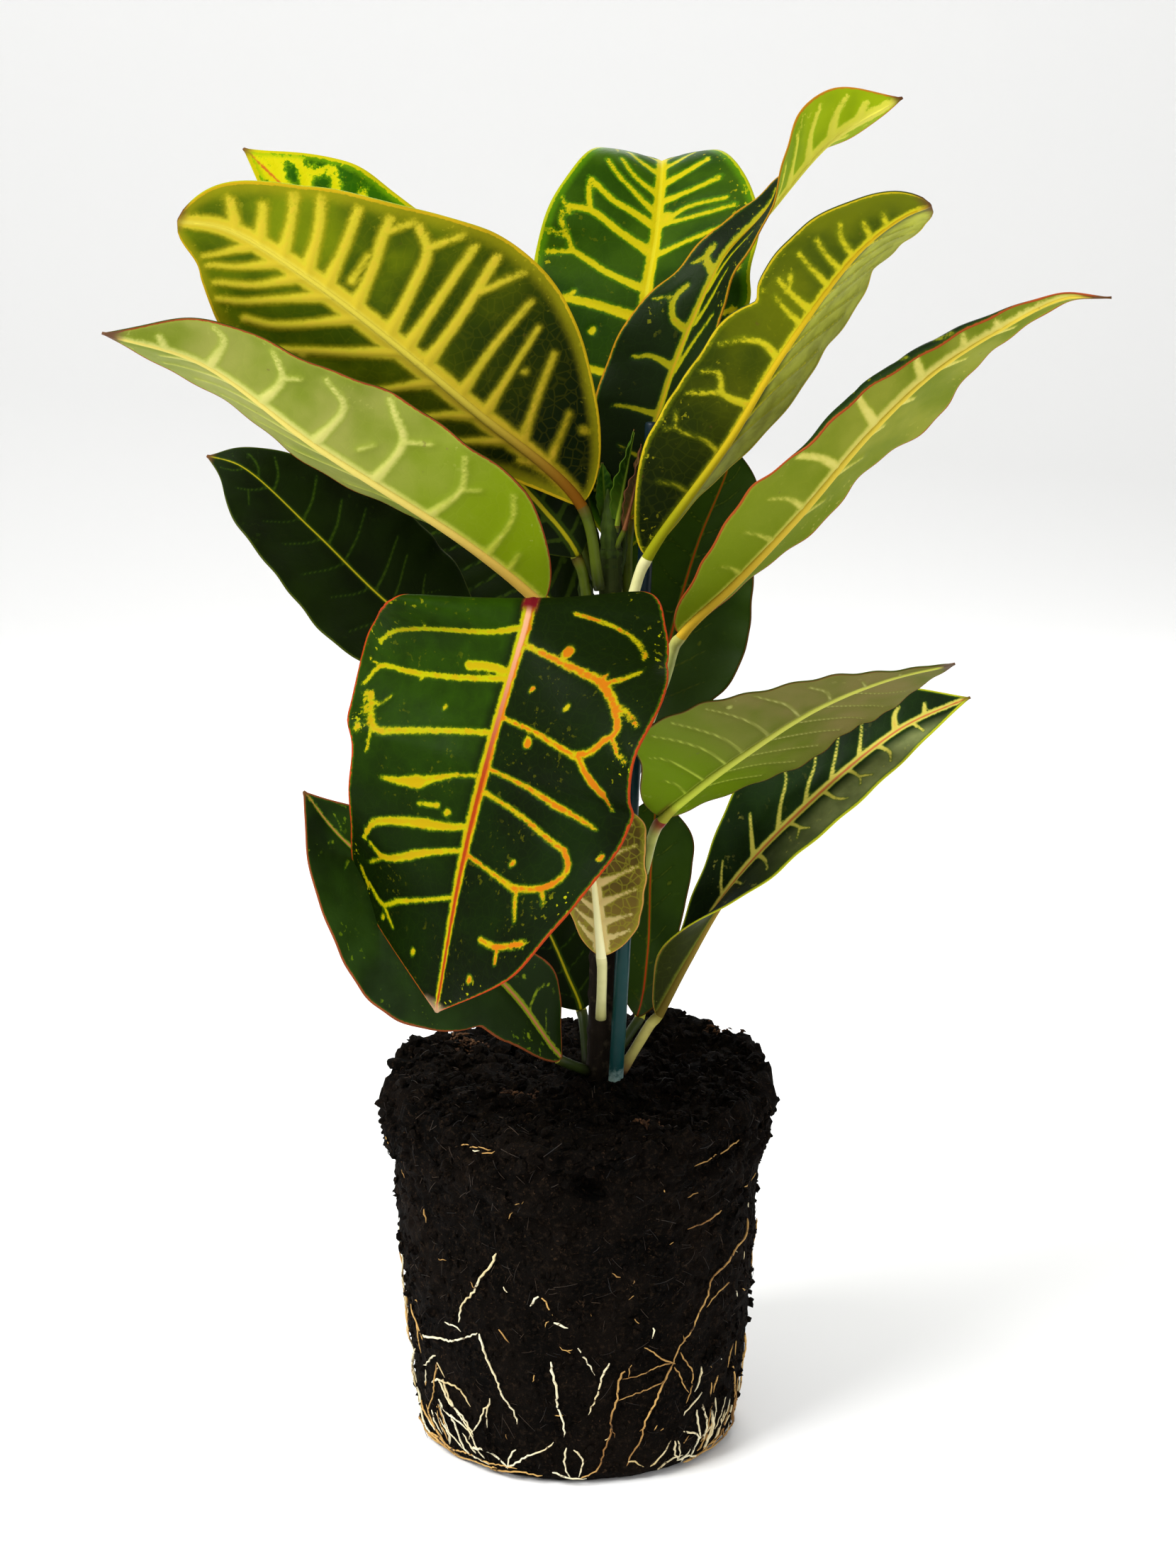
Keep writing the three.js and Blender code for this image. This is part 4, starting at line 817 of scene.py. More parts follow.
# Veins, drawn leaf by leaf. A stroke is: half of the leaf, width at its start and end in mm, then
# pairs of place along the leaf (0 at the stalk, 1 at the tip) and place across (0 midrib, 1 margin).
# "o" is a round spot: half, along, across, radius. "rows" is a row of like side veins: half, how
# many, first and last start, how far each runs on towards the tip, reach, width, share that forks.
VEINS = {
    "leaf_front": """
R 1.8 1.4 .15 0 .17 .17 .185 .34 .205 .62 .24 .83 .285 .9
R 1 .6 .205 .62 .185 .68
R 1.9 1.5 .262 0 .30 .33 .325 .62 .345 .86 .38 .93
R .8 .6 .34 .85 .33 .93
R 2.4 3 .252 .05 .25 .12 .262 .28
R 1.6 1.8 .382 0 .415 .33 .44 .62 .455 .80 .40 .88
R 1 .8 .455 .82 .5 .88
R .8 .8 .475 0 .49 .18
R 1 3.6 .49 .18 .515 .36 .53 .46
R 3.8 .8 .53 .46 .54 .6 .545 .75
R 1.6 1 .565 .28 .575 .42
R 1.2 3 .585 0 .60 .15 .61 .33
R 3 1.4 .61 .33 .63 .62 .65 .78 .69 .87
R 1 2.4 .64 0 .66 .18 .69 .42
R 2.4 1.2 .69 .42 .72 .68 .70 .82
R .8 .7 .72 .68 .745 .82
R 1 1.4 .742 0 .78 .3 .81 .55
R 1.4 1.2 .81 .55 .83 .72 .79 .88
R 1.2 .8 .83 .72 .87 .7
R 1.4 .8 .77 .9 .81 .86
R .9 .7 .4 .9 .41 .8 .385 .72
R 1 .8 .43 .88 .40 .93
L 1.4 1 .10 .33 .115 .62 .14 .8 .165 .84
L 1.5 2.2 .185 0 .205 .3 .22 .6
L 2.2 2 .22 .6 .25 .73 .29 .82 .315 .76 .34 .7 .36 .62
L 1.6 .9 .22 .62 .205 .72 .19 .82
L 1.4 1 .25 .75 .255 .85 .27 .93
L 1.6 1 .305 .82 .325 .88 .335 .95
L 1.2 2.2 .345 0 .346 .26 .353 .43 .36 .62
L 2.2 3.2 .36 .62 .39 .7 .42 .82
L 2 .9 .42 .82 .455 .86
L 1 1.8 .457 0 .47 .3 .485 .5
L 2.2 1 .485 .5 .495 .65 .505 .82
L 1.2 1.8 .505 0 .525 .3 .555 .55 .57 .7
L 1.8 1.8 .57 .7 .6 .78 .635 .76 .66 .65 .675 .5
L 1 2 .645 0 .66 .25 .67 .42 .675 .5
L 1.6 1 .675 .52 .70 .56 .735 .65
L 1.3 1 .655 .7 .68 .78
L 1.8 1.6 .80 .42 .795 .63 .765 .86
L 1.6 1.4 .795 .63 .825 .72
o L .375 .25 1.6
o L .185 .32 1.6
o L .63 .4 .9
o L .56 .93 .9
o L .89 .6 1.2
o L .28 .44 .9
o L .27 .17 .8
o L .21 .6 .6
o R .575 .2 1
o R .9 .5 .9
o R .86 .8 .8
o R .33 .55 .6
o R .37 .35 .7
o R .46 .93 1""",
    "leaf_upright": """
L 2 1.6 .515 0 .545 .36 .58 .69
L 1.3 .9 .58 .69 .61 .76 .64 .84 .665 .86
L 1.3 1 .58 .69 .575 .92
L 2.4 1.8 .59 0 .63 .33 .67 .62 .675 .8
L 1.6 1.2 .67 .62 .715 .72 .74 .74
L 2 1.6 .648 0 .68 .25 .70 .45 .74 .72
L 1.3 1.1 .675 0 .71 .2 .76 .5 .79 .7
L 1.2 1 .72 0 .76 .3 .80 .55
L 1.1 .9 .77 0 .81 .35 .84 .55
L 1 .8 .82 0 .86 .35
L 3 2 .455 0 .475 .38 .49 .7
L 2.6 1.8 .34 0 .352 .38 .365 .7
L 2.4 1.6 .23 0 .24 .4 .25 .72
L 2 1.4 .12 0 .13 .5
L 1 .8 .66 .8 .69 .9
L .9 .7 .61 .8 .62 .93
R 1.4 1.2 .585 0 .61 .33 .64 .72
R 1.2 1 .655 0 .665 .33 .68 .78
R 1.2 1 .665 .1 .685 .3 .695 .72
R 1.6 1.2 .705 0 .72 .3 .74 .72
R 1.8 1.5 .745 0 .765 .3 .79 .7
R 1.2 1 .79 0 .815 .35 .84 .7
R 1.1 .8 .83 0 .86 .4
R 1 .8 .87 0 .9 .4
R 2.4 1.6 .50 0 .52 .4 .55 .9
R 2.4 1.6 .42 0 .44 .4 .47 .88
R 2.4 1.6 .33 0 .35 .4 .37 .85
R 2.2 1.6 .22 0 .24 .4 .26 .8
R 2 1.4 .11 0 .13 .5
o L .43 .45 1
o L .5 .63 .7
o R .67 .09 1.6""",
    "leaf_top_left": """
L 1.2 .8 .11 .02 .14 .6
L 1.8 1.6 .18 0 .215 .4 .24 .72
L 2.2 1.4 .28 0 .295 .35 .308 .72
L 2.2 1.4 .345 0 .355 .4 .356 .8
L 2.8 2.2 .44 0 .45 .4 .468 .85
L 1.4 .9 .45 .62 .405 .9
L 2.6 1.8 .49 0 .505 .45 .52 .85
L 2.8 1.8 .535 0 .56 .4 .587 .7 .63 .85
L 1.4 1 .587 .72 .55 .9
L 2.6 1.8 .62 0 .645 .4 .67 .72 .68 .85
L 1.4 1 .67 .72 .64 .88
L 1 .7 .66 .2 .665 .45
L 2.4 1.8 .69 0 .71 .4 .735 .85
L 2.4 1.8 .735 0 .77 .5 .80 .88
L 2 1.6 .79 0 .82 .5 .84 .85
L 1.8 1.4 .84 0 .87 .6
L 1.5 1.2 .89 0 .92 .6
R 2 1.4 .67 0 .745 .35 .80 .66 .84 .86
R 2 1.8 .6 0 .665 .35 .72 .6 .765 .72
R 2.6 2 .49 0 .547 .25 .61 .5 .69 .8
R 2 1.6 .395 0 .426 .2 .47 .45 .52 .7
R 1.8 1.4 .285 0 .33 .25 .38 .5 .42 .7
R 1.6 1.2 .20 0 .24 .3 .29 .55
R 1.4 1 .12 0 .16 .35
R 1.8 1.3 .735 0 .80 .4 .87 .8
R 1.6 1.2 .78 0 .85 .4 .91 .75
R 1.5 1.1 .84 0 .9 .45 .93 .7
o L .27 .45 .6
o R .63 .62 .9
o L .1 .7 .8""",
    "leaf_long_left": """
L 1.4 .9 .155 0 .17 .62 .2 .85
L 2 1.2 .295 0 .277 .5 .312 .85
L 1 .7 .277 .5 .25 .62
L 2.6 1.6 .42 0 .4225 .6 .463 .8 .49 .92
L 1.4 .8 .42 .6 .375 .75
L 2.6 1.2 .555 0 .553 .62 .62 .85
L 2.4 1.2 .68 0 .68 .55 .72 .85
L 1.2 .7 .68 .55 .655 .68
L 2 1 .795 0 .80 .7 .82 .85
L 1.4 .8 .88 0 .9 .5
L .8 .6 .1 0 .11 .4
L .7 .5 .48 .25 .46 .4
R 1 .6 .30 0 .38 .4 .45 .8
R 1.2 .6 .42 0 .5 .4 .58 .8
R 1 .6 .5 0 .58 .35 .66 .8
R 1.2 .6 .57 0 .65 .35 .74 .8
R 1 .6 .66 0 .73 .35 .8 .75
R 1 .6 .74 0 .81 .4 .87 .75
R .8 .6 .82 0 .88 .4""",
    "leaf_right": """
R .8 .6 .175 0 .175 .3 .165 .6
R 1 .8 .29 0 .30 .3 .295 .7 .33 .82
R .7 .6 .297 .7 .28 .85
R 2.2 2 .42 0 .415 .3 .42 .43
R 1.8 .9 .42 .43 .455 .62 .445 .85
R 1.8 1 .42 .43 .40 .65 .385 .85
R 1.8 1.6 .54 0 .555 .35 .545 .6
R .8 .6 .545 .6 .515 .85
R 1.6 .8 .63 0 .64 .3 .66 .6
R 2 1.2 .665 0 .68 .45 .695 .72
R 1.3 .8 .68 .5 .705 .55
R 1.5 1 .73 0 .745 .45 .76 .75
R 1.4 .9 .77 0 .785 .4 .8 .7
R 1.4 .9 .81 0 .825 .4 .85 .65
R 1.3 .9 .86 0 .875 .45
R 1.2 .8 .9 0 .915 .4
o R .71 .6 .9
o R .66 .8 .6
L 1 .6 .25 0 .35 .3 .45 .8
L 1 .6 .36 0 .45 .3 .55 .8
L 1.2 .6 .46 0 .54 .3 .64 .8
L 1.2 .6 .55 0 .62 .3 .7 .8
L 1.2 .6 .63 0 .7 .35 .78 .8
L 1.2 .6 .7 0 .76 .35 .84 .75
L 1.2 .6 .77 0 .83 .35 .89 .7
L 1 .6 .84 0 .89 .35 .93 .6""",
    "leaf_long_right": """
R .6 .5 .165 0 .165 .3 .16 .55
R .8 .6 .25 0 .245 .35 .235 .6
R 1.4 .9 .33 0 .33 .33 .31 .62
R 2 2.4 .425 0 .425 .35 .41 .75
R 2.4 2 .525 0 .54 .45 .55 .75
R 1.8 1.4 .64 0 .65 .4 .66 .6
R 1.2 .8 .73 0 .74 .5
R 1.8 1.2 .8 0 .8 .4
R 1 .7 .63 .75 .65 .9
R 1 .7 .7 .8 .73 .92
L 1.6 .8 .5 .02 .53 .15
L 2 .8 .58 0 .6 .2
L 1.2 .6 .68 .05 .72 .3
L 1 .6 .3 0 .36 .4
L 1 .6 .4 0 .46 .4
L 1 .6 .78 0 .82 .4""",
    "leaf_low_right": """
R .5 .4 .11 0 .12 .3 .105 .55
R .6 .4 .18 0 .185 .33 .17 .6 .15 .8
R .7 .4 .265 0 .27 .3 .25 .65 .22 .9
R .7 .4 .33 0 .335 .35 .31 .7 .285 .9
R .7 .4 .425 0 .43 .35 .405 .7 .38 .9
R .7 .4 .53 0 .54 .4 .52 .75 .5 .9
R .6 .4 .63 0 .64 .4 .62 .8
R .6 .4 .74 0 .745 .5
R .6 .4 .84 0 .85 .5
o R .43 .82 .7
L .6 .4 .14 0 .2 .35 .27 .75
L .6 .4 .22 0 .29 .35 .37 .8
L .6 .4 .31 0 .38 .35 .46 .8
L .6 .4 .4 0 .47 .35 .55 .8
L .6 .4 .5 0 .56 .35 .64 .8
L .6 .4 .6 0 .66 .35 .73 .8
L .5 .4 .7 0 .75 .35 .81 .75""",
    "leaf_right_lowest": """
L 0.7 0.5 .3 0 .33 .3 .36 .55
L 1.3 0.9 .41 0 .442 .33 .476 .57
L 1.2 0.7 .485 0 .53 .25 .582 .5 .6 .7
L 1 0.6 .565 0 .605 .18 .645 .36 .68 .6
L 0.9 0.6 .64 0 .67 .15 .70 .3 .74 .6
L 0.9 0.6 .72 0 .76 .3 .79 .6
L 1.7 0.7 .82 0 .84 .3 .855 .5
L 1.3 0.7 .89 0 .905 .4
R 1.2 0.6 .425 .02 .43 .45 .42 .7
R 1 0.7 .52 0 .53 .4
R 0.7 0.5 .53 .4 .545 .62
R 0.7 0.5 .53 .4 .51 .6
R 1 0.6 .62 0 .63 .5 .65 .7
R 1 0.7 .69 0 .7 .45
R 0.7 0.5 .7 .45 .72 .65
R 0.7 0.5 .7 .45 .685 .65
R 1.2 0.6 .77 0 .78 .5 .77 .68
R 0.9 0.6 .86 0 .87 .6
R 0.7 0.5 .35 .1 .36 .5""",
    "leaf_small_front": """
L 1.6 .9 .10 0 .13 .4 .18 .85
L 1.8 .9 .19 0 .23 .4 .28 .85
L 1.8 .9 .3 0 .35 .4 .42 .85
L 1.8 .9 .41 0 .47 .4 .55 .85
L 1.6 .9 .52 0 .59 .4 .67 .85
L 1.5 .8 .64 0 .71 .4 .78 .8
L 1.2 .8 .76 0 .83 .5
R 1.6 .9 .08 0 .11 .4 .16 .8
R 1.8 .9 .17 0 .2 .4 .26 .85
R 1.8 .9 .26 0 .3 .4 .37 .85
R 1.8 .9 .37 0 .42 .4 .5 .85
R 1.6 .9 .5 0 .56 .4 .64 .8
R 1.4 .8 .63 0 .7 .4 .76 .8""",
    "leaf_twisted": """
L 1 .7 .12 0 .13 .5
L 1.6 1 .21 0 .205 .5 .2 .7
L 1.8 1.2 .305 0 .31 .4 .30 .65
L 2.2 1.4 .38 0 .395 .35 .43 .55 .46 .5
L .8 .6 .43 .55 .41 .85
L 2.6 1.2 .5 0 .52 .5 .545 .6
L 1 .7 .52 .5 .5 .8
R 1.2 .8 .4 .15 .46 .4 .52 .55
R 1.2 .8 .3 .1 .38 .4 .43 .7
R 1.2 .8 .47 .1 .53 .3 .6 .5
R 1 .7 .2 .1 .28 .5
R 2.2 1.2 .655 0 .68 .4 .73 .8
R 2.2 1.2 .72 0 .745 .4 .79 .8
R 2.2 1.2 .78 0 .805 .4 .85 .75
R 2 1.2 .84 0 .87 .4 .9 .7
R 1.4 1 .9 0 .93 .5
L 1.6 .8 .66 0 .72 .5
L 1.6 .8 .74 0 .8 .5
L 1.4 .8 .82 0 .87 .5""",
    "leaf_low_left": """
rows R 6 .1 .85 .05 .5 .3 .1
L 1 .6 .86 .2 .865 .32
L 1 .6 .8 .2 .8 .33
R 1 .8 .17 .1 .19 .5 .18 .75
R 1 .8 .31 .2 .32 .6
o L .13 .5 .8
o R .24 .45 .6
o R .28 .3 .6""",
    "leaf_dark_left": """
rows L 9 .08 .88 .05 .7 .45 .2
rows R 9 .1 .85 .05 .7 .5 .3""",
    "leaf_dark_right": """
rows L 9 .08 .88 .06 .6 .5 .2
rows R 9 .1 .85 .06 .6 .5 .2
o L .4 .5 .7
o R .3 .4 .6
o R .55 .6 .7""",
    "leaf_dark_low": """
rows L 7 .08 .88 .06 .6 .4 .2
rows R 7 .1 .85 .06 .6 .4 .2
o R .6 .5 .6""",
    "leaf_back_left": """
rows L 12 .08 .9 .06 .85 2 .7
rows R 12 .1 .9 .06 .85 2.2 .7""",
    "leaf_behind_low": """
rows L 6 .1 .85 .06 .6 .35 .2
rows R 6 .1 .85 .06 .6 .35 .2""",
    "leaf_under_left": """
rows L 7 .1 .88 .06 .8 1.2 .4
rows R 7 .1 .88 .06 .8 1.2 .4""",
}
PLAIN_VEINS = """
rows L 9 .08 .9 .06 .75 1.2 .6
rows R 9 .1 .88 .06 .75 1.2 .6"""

# How broad the coloured band along the midrib is, from stalk to tip, in mm.
RIB_BAND = [2.2, 1.8, 1.4, 0.8]
RIB_BANDS = {
    "leaf_front": [3.6, 3.2, 3.4, 3.2, 2.6, 1.8], "leaf_upright": [4.2, 4.2, 3.8, 3, 2.6, 2.2],
    "leaf_top_left": [3, 4.2, 5, 5.2, 4.6, 2.6], "leaf_long_left": [3, 2.6, 2.8, 2.8, 2, 1],
    "leaf_right": [2.2, 2, 2.2, 2.6, 2.8, 2], "leaf_long_right": [2.6, 2.6, 2.6, 2.8, 2.2, 1.4],
    "leaf_low_right": [3, 2.4, 1.8, 1.4, 1, 0.8], "leaf_right_lowest": [1.6, 1.8, 2.4, 2.4, 2, 1.4],
    "leaf_small_front": [4.6, 3.8, 2.6, 1.8, 1], "leaf_twisted": [2.2, 2.2, 2.2, 2.4, 3.4, 3.4, 2],
    "leaf_low_left": [2.6, 2.6, 2.2, 1.6, 1], "leaf_dark_left": [2, 1.6, 1.2, 0.8],
    "leaf_dark_right": [1.8, 1.6, 1.3, 0.8], "leaf_dark_low": [1.4, 1.2, 0.8],
    "leaf_back_left": [3, 3, 2.6, 1.8], "leaf_under_left": [3.4, 3.4, 3, 2],
}


def even(values, t):
    """Smooth run through evenly spaced values, read at t from 0 to 1."""
    v = np.asarray(values, float)
    t = np.clip(t, 0, 1)
    if len(v) == 1:
        return np.full(np.shape(t), v[0])
    x = t * (len(v) - 1)
    i = np.minimum(x.astype(int), len(v) - 2)
    f = x - i
    p = np.concatenate([[2 * v[0] - v[1]], v, [2 * v[-1] - v[-2]]])
    a, b, c, d = p[i], p[i + 1], p[i + 2], p[i + 3]
    return b + 0.5 * f * (c - a + f * (2 * a - 5 * b + 4 * c - d + f * (3 * (b - c) + d - a)))


def smooth_line(points, steps=LINE_STEPS):
    """Smooth curve through points; its knots grow with the square root of the distance."""
    p = np.asarray(points, float)
    gaps = np.sqrt(np.linalg.norm(np.diff(p, axis=0), axis=1) + 1e-9)
    knots = np.concatenate([[0], np.cumsum(gaps)])
    knots = np.concatenate([[2 * knots[0] - knots[1]], knots, [2 * knots[-1] - knots[-2]]])
    held = np.concatenate([[2 * p[0] - p[1]], p, [2 * p[-1] - p[-2]]])
    out = []
    for i in range(1, len(p)):
        k = knots[i - 1:i + 3]
        for m in range(steps):
            t = k[1] + (k[2] - k[1]) * m / steps
            row = held[i - 1:i + 3]
            for spans in (((0, 1), (1, 2), (2, 3)), ((0, 2), (1, 3)), ((1, 2),)):
                row = [(k[b] - t) / (k[b] - k[a]) * one + (t - k[a]) / (k[b] - k[a]) * two
                       for (a, b), one, two in zip(spans, row, row[1:])]
            out.append(row[0])
    out.append(p[-1])
    return np.array(out)


def stalk_foot(leaf):
    """Where the stalk leaves the stem's skin."""
    if "top" in leaf:
        return np.array([STEM_TOP[0] + leaf["top"][0], leaf["top"][1], YOUNG_FOOT])
    a, z = math.radians(leaf["foot"][0]), leaf["foot"][1]
    f = (z - STEM_SOIL[2]) / (STEM_TOP[2] - STEM_SOIL[2])
    x = STEM_SOIL[0] + (STEM_TOP[0] - STEM_SOIL[0]) * f
    r = STEM_RADIUS_LOW + (STEM_RADIUS_TOP - STEM_RADIUS_LOW) * max(0, f)
    onward = leaf["path"][0]
    out, up = math.hypot(onward[0] - x, onward[1]) - r, onward[2] - z
    reach = r + 0.3 + leaf.get("stalk", STALK_RADIUS) * up / math.hypot(out, up)
    return np.array([x + reach * math.cos(a), reach * math.sin(a), z])


def half_width(leaf, side, t):
    """Half width of the blade on its left or right side, at t from 0 at the stalk to 1 at the tip."""
    v = np.array([0] + leaf[side] + [0], float)
    x, last = t * (len(v) - 1), len(v) - 2
    w = np.maximum(even(v, t), 0)
    shoulder = leaf.get("shoulder", (0.65, 0.65))[side == "right"]
    w = np.where(x < 1, leaf[side][0] * np.clip(x, 0, 1) ** shoulder, w)
    if "blunt" in leaf:
        w = np.where(x > last, v[last] * np.clip(last + 1 - x, 0, 1) ** leaf["blunt"], w)
    return w


def vein_strokes(name, leaf, length):
    """The leaf's veins laid flat: lists of (points in mm, half widths)."""
    vein_dice = random.Random(name)
    strokes = []

    def flat(side, t, u):
        t = np.asarray(t, float)
        w = half_width(leaf, "left" if side == "L" else "right", t)
        return np.stack([(-1 if side == "L" else 1) * np.asarray(u) * w, t * length], -1)

    for row in VEINS.get(name, PLAIN_VEINS).strip().split("\n"):
        words = row.split()
        if words[0] == "o":
            t, u, r = (float(q) for q in words[2:])
            spot = flat(words[1], t, u)
            strokes.append((np.array([spot - (0.2, 0.3), spot + (0.2, 0.3)]), np.array([r, r * 0.8])))
        elif words[0] == "rows":
            side = words[1]
            count, first, final, on, reach, width, forks = (float(q) for q in words[2:])
            for k in range(int(count)):
                t = first + (final - first) * (k + vein_dice.uniform(-0.2, 0.2)) / (count - 1)
                far = reach * vein_dice.uniform(0.8, 1.1)
                line = flat(side, [t, t + on * 0.45, t + on, t + on * 1.3], [0, far * 0.45, far * 0.8, far])
                line = smooth_line(line, 4)
                w = width * vein_dice.uniform(0.7, 1.2)
                strokes.append((line, np.linspace(w, w * 0.5, len(line)) / 2))
                if vein_dice.random() < forks:
                    fork = flat(side, [t + on * 0.7, t + on * 0.6 - 0.03], [far * 0.62, far * 0.95])
                    strokes.append((fork, np.array([w * 0.3, w * 0.2])))
        else:
            start, end, *places = [float(q) for q in words[1:]]
            line = flat(words[0], places[0::2], places[1::2])
            line[1:] += np.array([[vein_dice.uniform(-0.35, 0.35) for _ in range(2)] for _ in line[1:]])
            line = smooth_line(line, 4)
            strokes.append((line, np.linspace(start, end, len(line)) / 2))
    return strokes


def stroke_distance(x, y, strokes):
    """Distance from each point to the nearest vein's edge (below 0 inside it), and to its middle."""
    far = 9.0
    edge, middle = np.full(x.shape, far), np.full(x.shape, far)
    for line, half in strokes:
        low, high = line.min(0) - far, line.max(0) + far
        near = (x > low[0]) & (x < high[0]) & (y > low[1]) & (y < high[1])
        px, py = x[near], y[near]
        e, m = edge[near], middle[near]
        for a, b, ha, hb in zip(line[:-1], line[1:], half[:-1], half[1:]):
            d = b - a
            q = np.clip(((px - a[0]) * d[0] + (py - a[1]) * d[1]) / (d @ d + 1e-9), 0, 1)
            gap = np.hypot(px - a[0] - q * d[0], py - a[1] - q * d[1])
            m = np.minimum(m, gap)
            e = np.minimum(e, gap - (ha + (hb - ha) * q))
        edge[near], middle[near] = e, m
    return edge, middle


# One of these colours is a painted sheen: the paler tone of a lit, shiny part of the blade.
LEAF_PAINTS = ("Ground", "Ground Dark", "Ground At Stalk", "Vein", "Vein At Stalk", "Vein Core", "Rib",
               "Rib At Stalk", "Halo", "Margin", "Tip", "Painted Sheen", "Joint")
LEAF_NUMBERS = {
    "Raggedness": 0.9, "Softness": 0.6, "Growth": -0.1, "Flare": 0.0, "Halo Width": 0.8, "Core Depth": 0.8,
    "Core Amount": 0.4, "Margin Width": 0.45, "Specks": 0.3, "Blemishes": 0.0, "Tip Start": 0.985,
    "Net": 0.02, "Margin Glow": 0.8, "Shade Start": 0.55, "Joint Reach": 0.05, "Joint Amount": 0.0,
}
# brown of the dry tip, red of the joint, and the usual painted sheen colour
BROWN, JOINT_RED, GREEN_PAINTED_SHEEN = (96, 62, 34), (96, 14, 22), (148, 156, 84)
COAT_ROUGHNESS = 0.3


def leaf_marks(tree):
    """Fills a node group that paints a leaf from its own measures: distance to the veins, to the
    midrib and to the margin, and place along the leaf."""
    face = tree.interface
    for name in LEAF_PAINTS:
        face.new_socket(name, in_out="INPUT", socket_type="NodeSocketColor")
    for name, usual in LEAF_NUMBERS.items():
        face.new_socket(name, in_out="INPUT", socket_type="NodeSocketFloat").default_value = usual
    face.new_socket("Colour", in_out="OUTPUT", socket_type="NodeSocketColor")
    face.new_socket("Relief", in_out="OUTPUT", socket_type="NodeSocketFloat")
    face.new_socket("Roughness", in_out="OUTPUT", socket_type="NodeSocketFloat")
    given = put(tree, "NodeGroupInput").outputs
    where = put(tree, "ShaderNodeTexCoord").outputs["Object"]
    noise, over = partial(grain, tree, where), partial(blend, tree)
    ramp = partial(stretch, tree, kind="SMOOTHSTEP")

    def measure(name):
        return put(tree, "ShaderNodeAttribute", attribute_name=name, attribute_type="GEOMETRY").outputs["Fac"]

    def sums(a, b, operation="ADD"):
        return put(tree, "ShaderNodeMath", {0: a, 1: b}, operation=operation).outputs[0]

    times = partial(sums, operation="MULTIPLY")
    less = partial(sums, operation="SUBTRACT")

    # veins: their distance is roughened, and they flare out at the midrib
    along, edge, rib = measure("along"), measure("edge"), measure("rib")
    outer = ramp(edge, 11.0, 3.0)
    ragged = times(less(noise(720, 4.0, 0.7), 0.5), given["Raggedness"])
    ragged = times(ragged, sums(times(outer, 1.6), 1.0))
    vein = sums(measure("vein"), ragged)
    vein = less(vein, sums(given["Growth"], times(given["Flare"], ramp(rib, 9.0, 0.0))))
    vein_mask = ramp(vein, times(given["Softness"], 0.5), times(given["Softness"], -0.4))
    # ground: two greens that turn to the stalk's ground colour towards the stalk (for most finishes darker,
    # painted shade), with a painted sheen on lit parts, a fine net of cells, and specks
    ground = over(given["Ground Dark"], given["Ground"], ramp(noise(45, 3.0), 0.35, 0.65))
    # painted shade: towards the stalk the ground takes the Ground At Stalk colour, for most finishes a darker
    # green that stands for shade
    shade = ramp(along, given["Shade Start"], 0.12)
    ground = over(ground, given["Ground At Stalk"], shade)
    cells = put(tree, "ShaderNodeTexVoronoi", {"Vector": where, "Scale": 330}, feature="DISTANCE_TO_EDGE")
    cells = cells.outputs["Distance"]
    # painted sheen: a paler colour in streaky patches over the part of the blade that the attribute marks,
    # standing for light that shines on it
    ground = over(ground, given["Painted Sheen"], times(measure("painted_sheen"), ramp(noise(160, 3.0), 0.3, 0.7, 0.55, 0.95)))
    colour = over(ground, given["Halo"], times(ramp(cells, 0.09, 0.02), given["Net"]))
    specks = times(ramp(noise(520, 2.0, 0.6), 0.62, 0.66), ramp(noise(80, 2.0), 0.5, 0.6))
    specks = times(specks, times(sums(times(outer, 0.9), 0.1), given["Specks"]))
    colour = over(colour, given["Vein"], specks)
    # a halo beside the veins, the veins themselves, and their warm core
    halo = times(ramp(vein, given["Halo Width"], 0.0), ramp(shade, 0.0, 0.9, 0.7, 0.25))
    colour = over(colour, given["Halo"], halo)
    warm = times(measure("warm"), given["Core Amount"])
    # towards the stalk the veins take their stalk colour, for most finishes darker: painted shade
    tint = over(given["Vein"], given["Vein At Stalk"], ramp(along, 0.55, 0.05))
    tint = over(tint, given["Vein Core"], times(warm, 0.3))
    colour = over(colour, tint, vein_mask)
    deep = sums(sums(vein, given["Core Depth"]), times(less(noise(230, 3.0, 0.6), 0.5), 2.4))
    colour = over(colour, given["Vein Core"], times(ramp(deep, 0.25, -0.35), warm))
    # the midrib, and the joint where it meets the stalk
    rib_colour = over(given["Rib"], given["Rib At Stalk"], ramp(along, 0.5, 0.0))
    rib_edge = sums(rib, times(ragged, 0.35))
    rib_mask = ramp(rib_edge, times(given["Softness"], 0.4), times(given["Softness"], -0.4))
    colour = over(colour, rib_colour, rib_mask)
    joint = times(ramp(less(along, given["Joint Reach"]), 0.02, -0.01), ramp(rib, 2.0, 0.8))
    colour = over(colour, given["Joint"], times(joint, given["Joint Amount"]))
    # the margin, its glow, brown blemishes and the dry tip
    margin = less(sums(edge, times(ragged, 0.35)), given["Margin Width"])
    colour = over(colour, given["Halo"], ramp(margin, given["Margin Glow"], 0.1, 0.0, 0.6))
    colour = over(colour, given["Margin"], ramp(margin, 0.2, -0.1))
    colour = over(colour, given["Tip"], times(ramp(noise(260, 2.0, 0.7), 0.72, 0.77), given["Blemishes"]))
    end = less(sums(along, times(noise(150), 0.03)), given["Tip Start"])
    colour = over(colour, given["Tip"], ramp(end, 0.0, 0.03))
    relief = sums(times(vein_mask, 0.3), times(noise(1500, 3.0), 0.12))
    relief = less(relief, times(ramp(cells, 0.12, 0.0), 0.1))
    rough = ramp(noise(70, 3.0), 0.3, 0.7, 0.42, 0.56)
    put(tree, "NodeGroupOutput", {"Colour": colour, "Relief": relief, "Roughness": rough})


leaf_markings = bpy.data.node_groups.new("leaf markings", "ShaderNodeTree")
leaf_marks(leaf_markings)


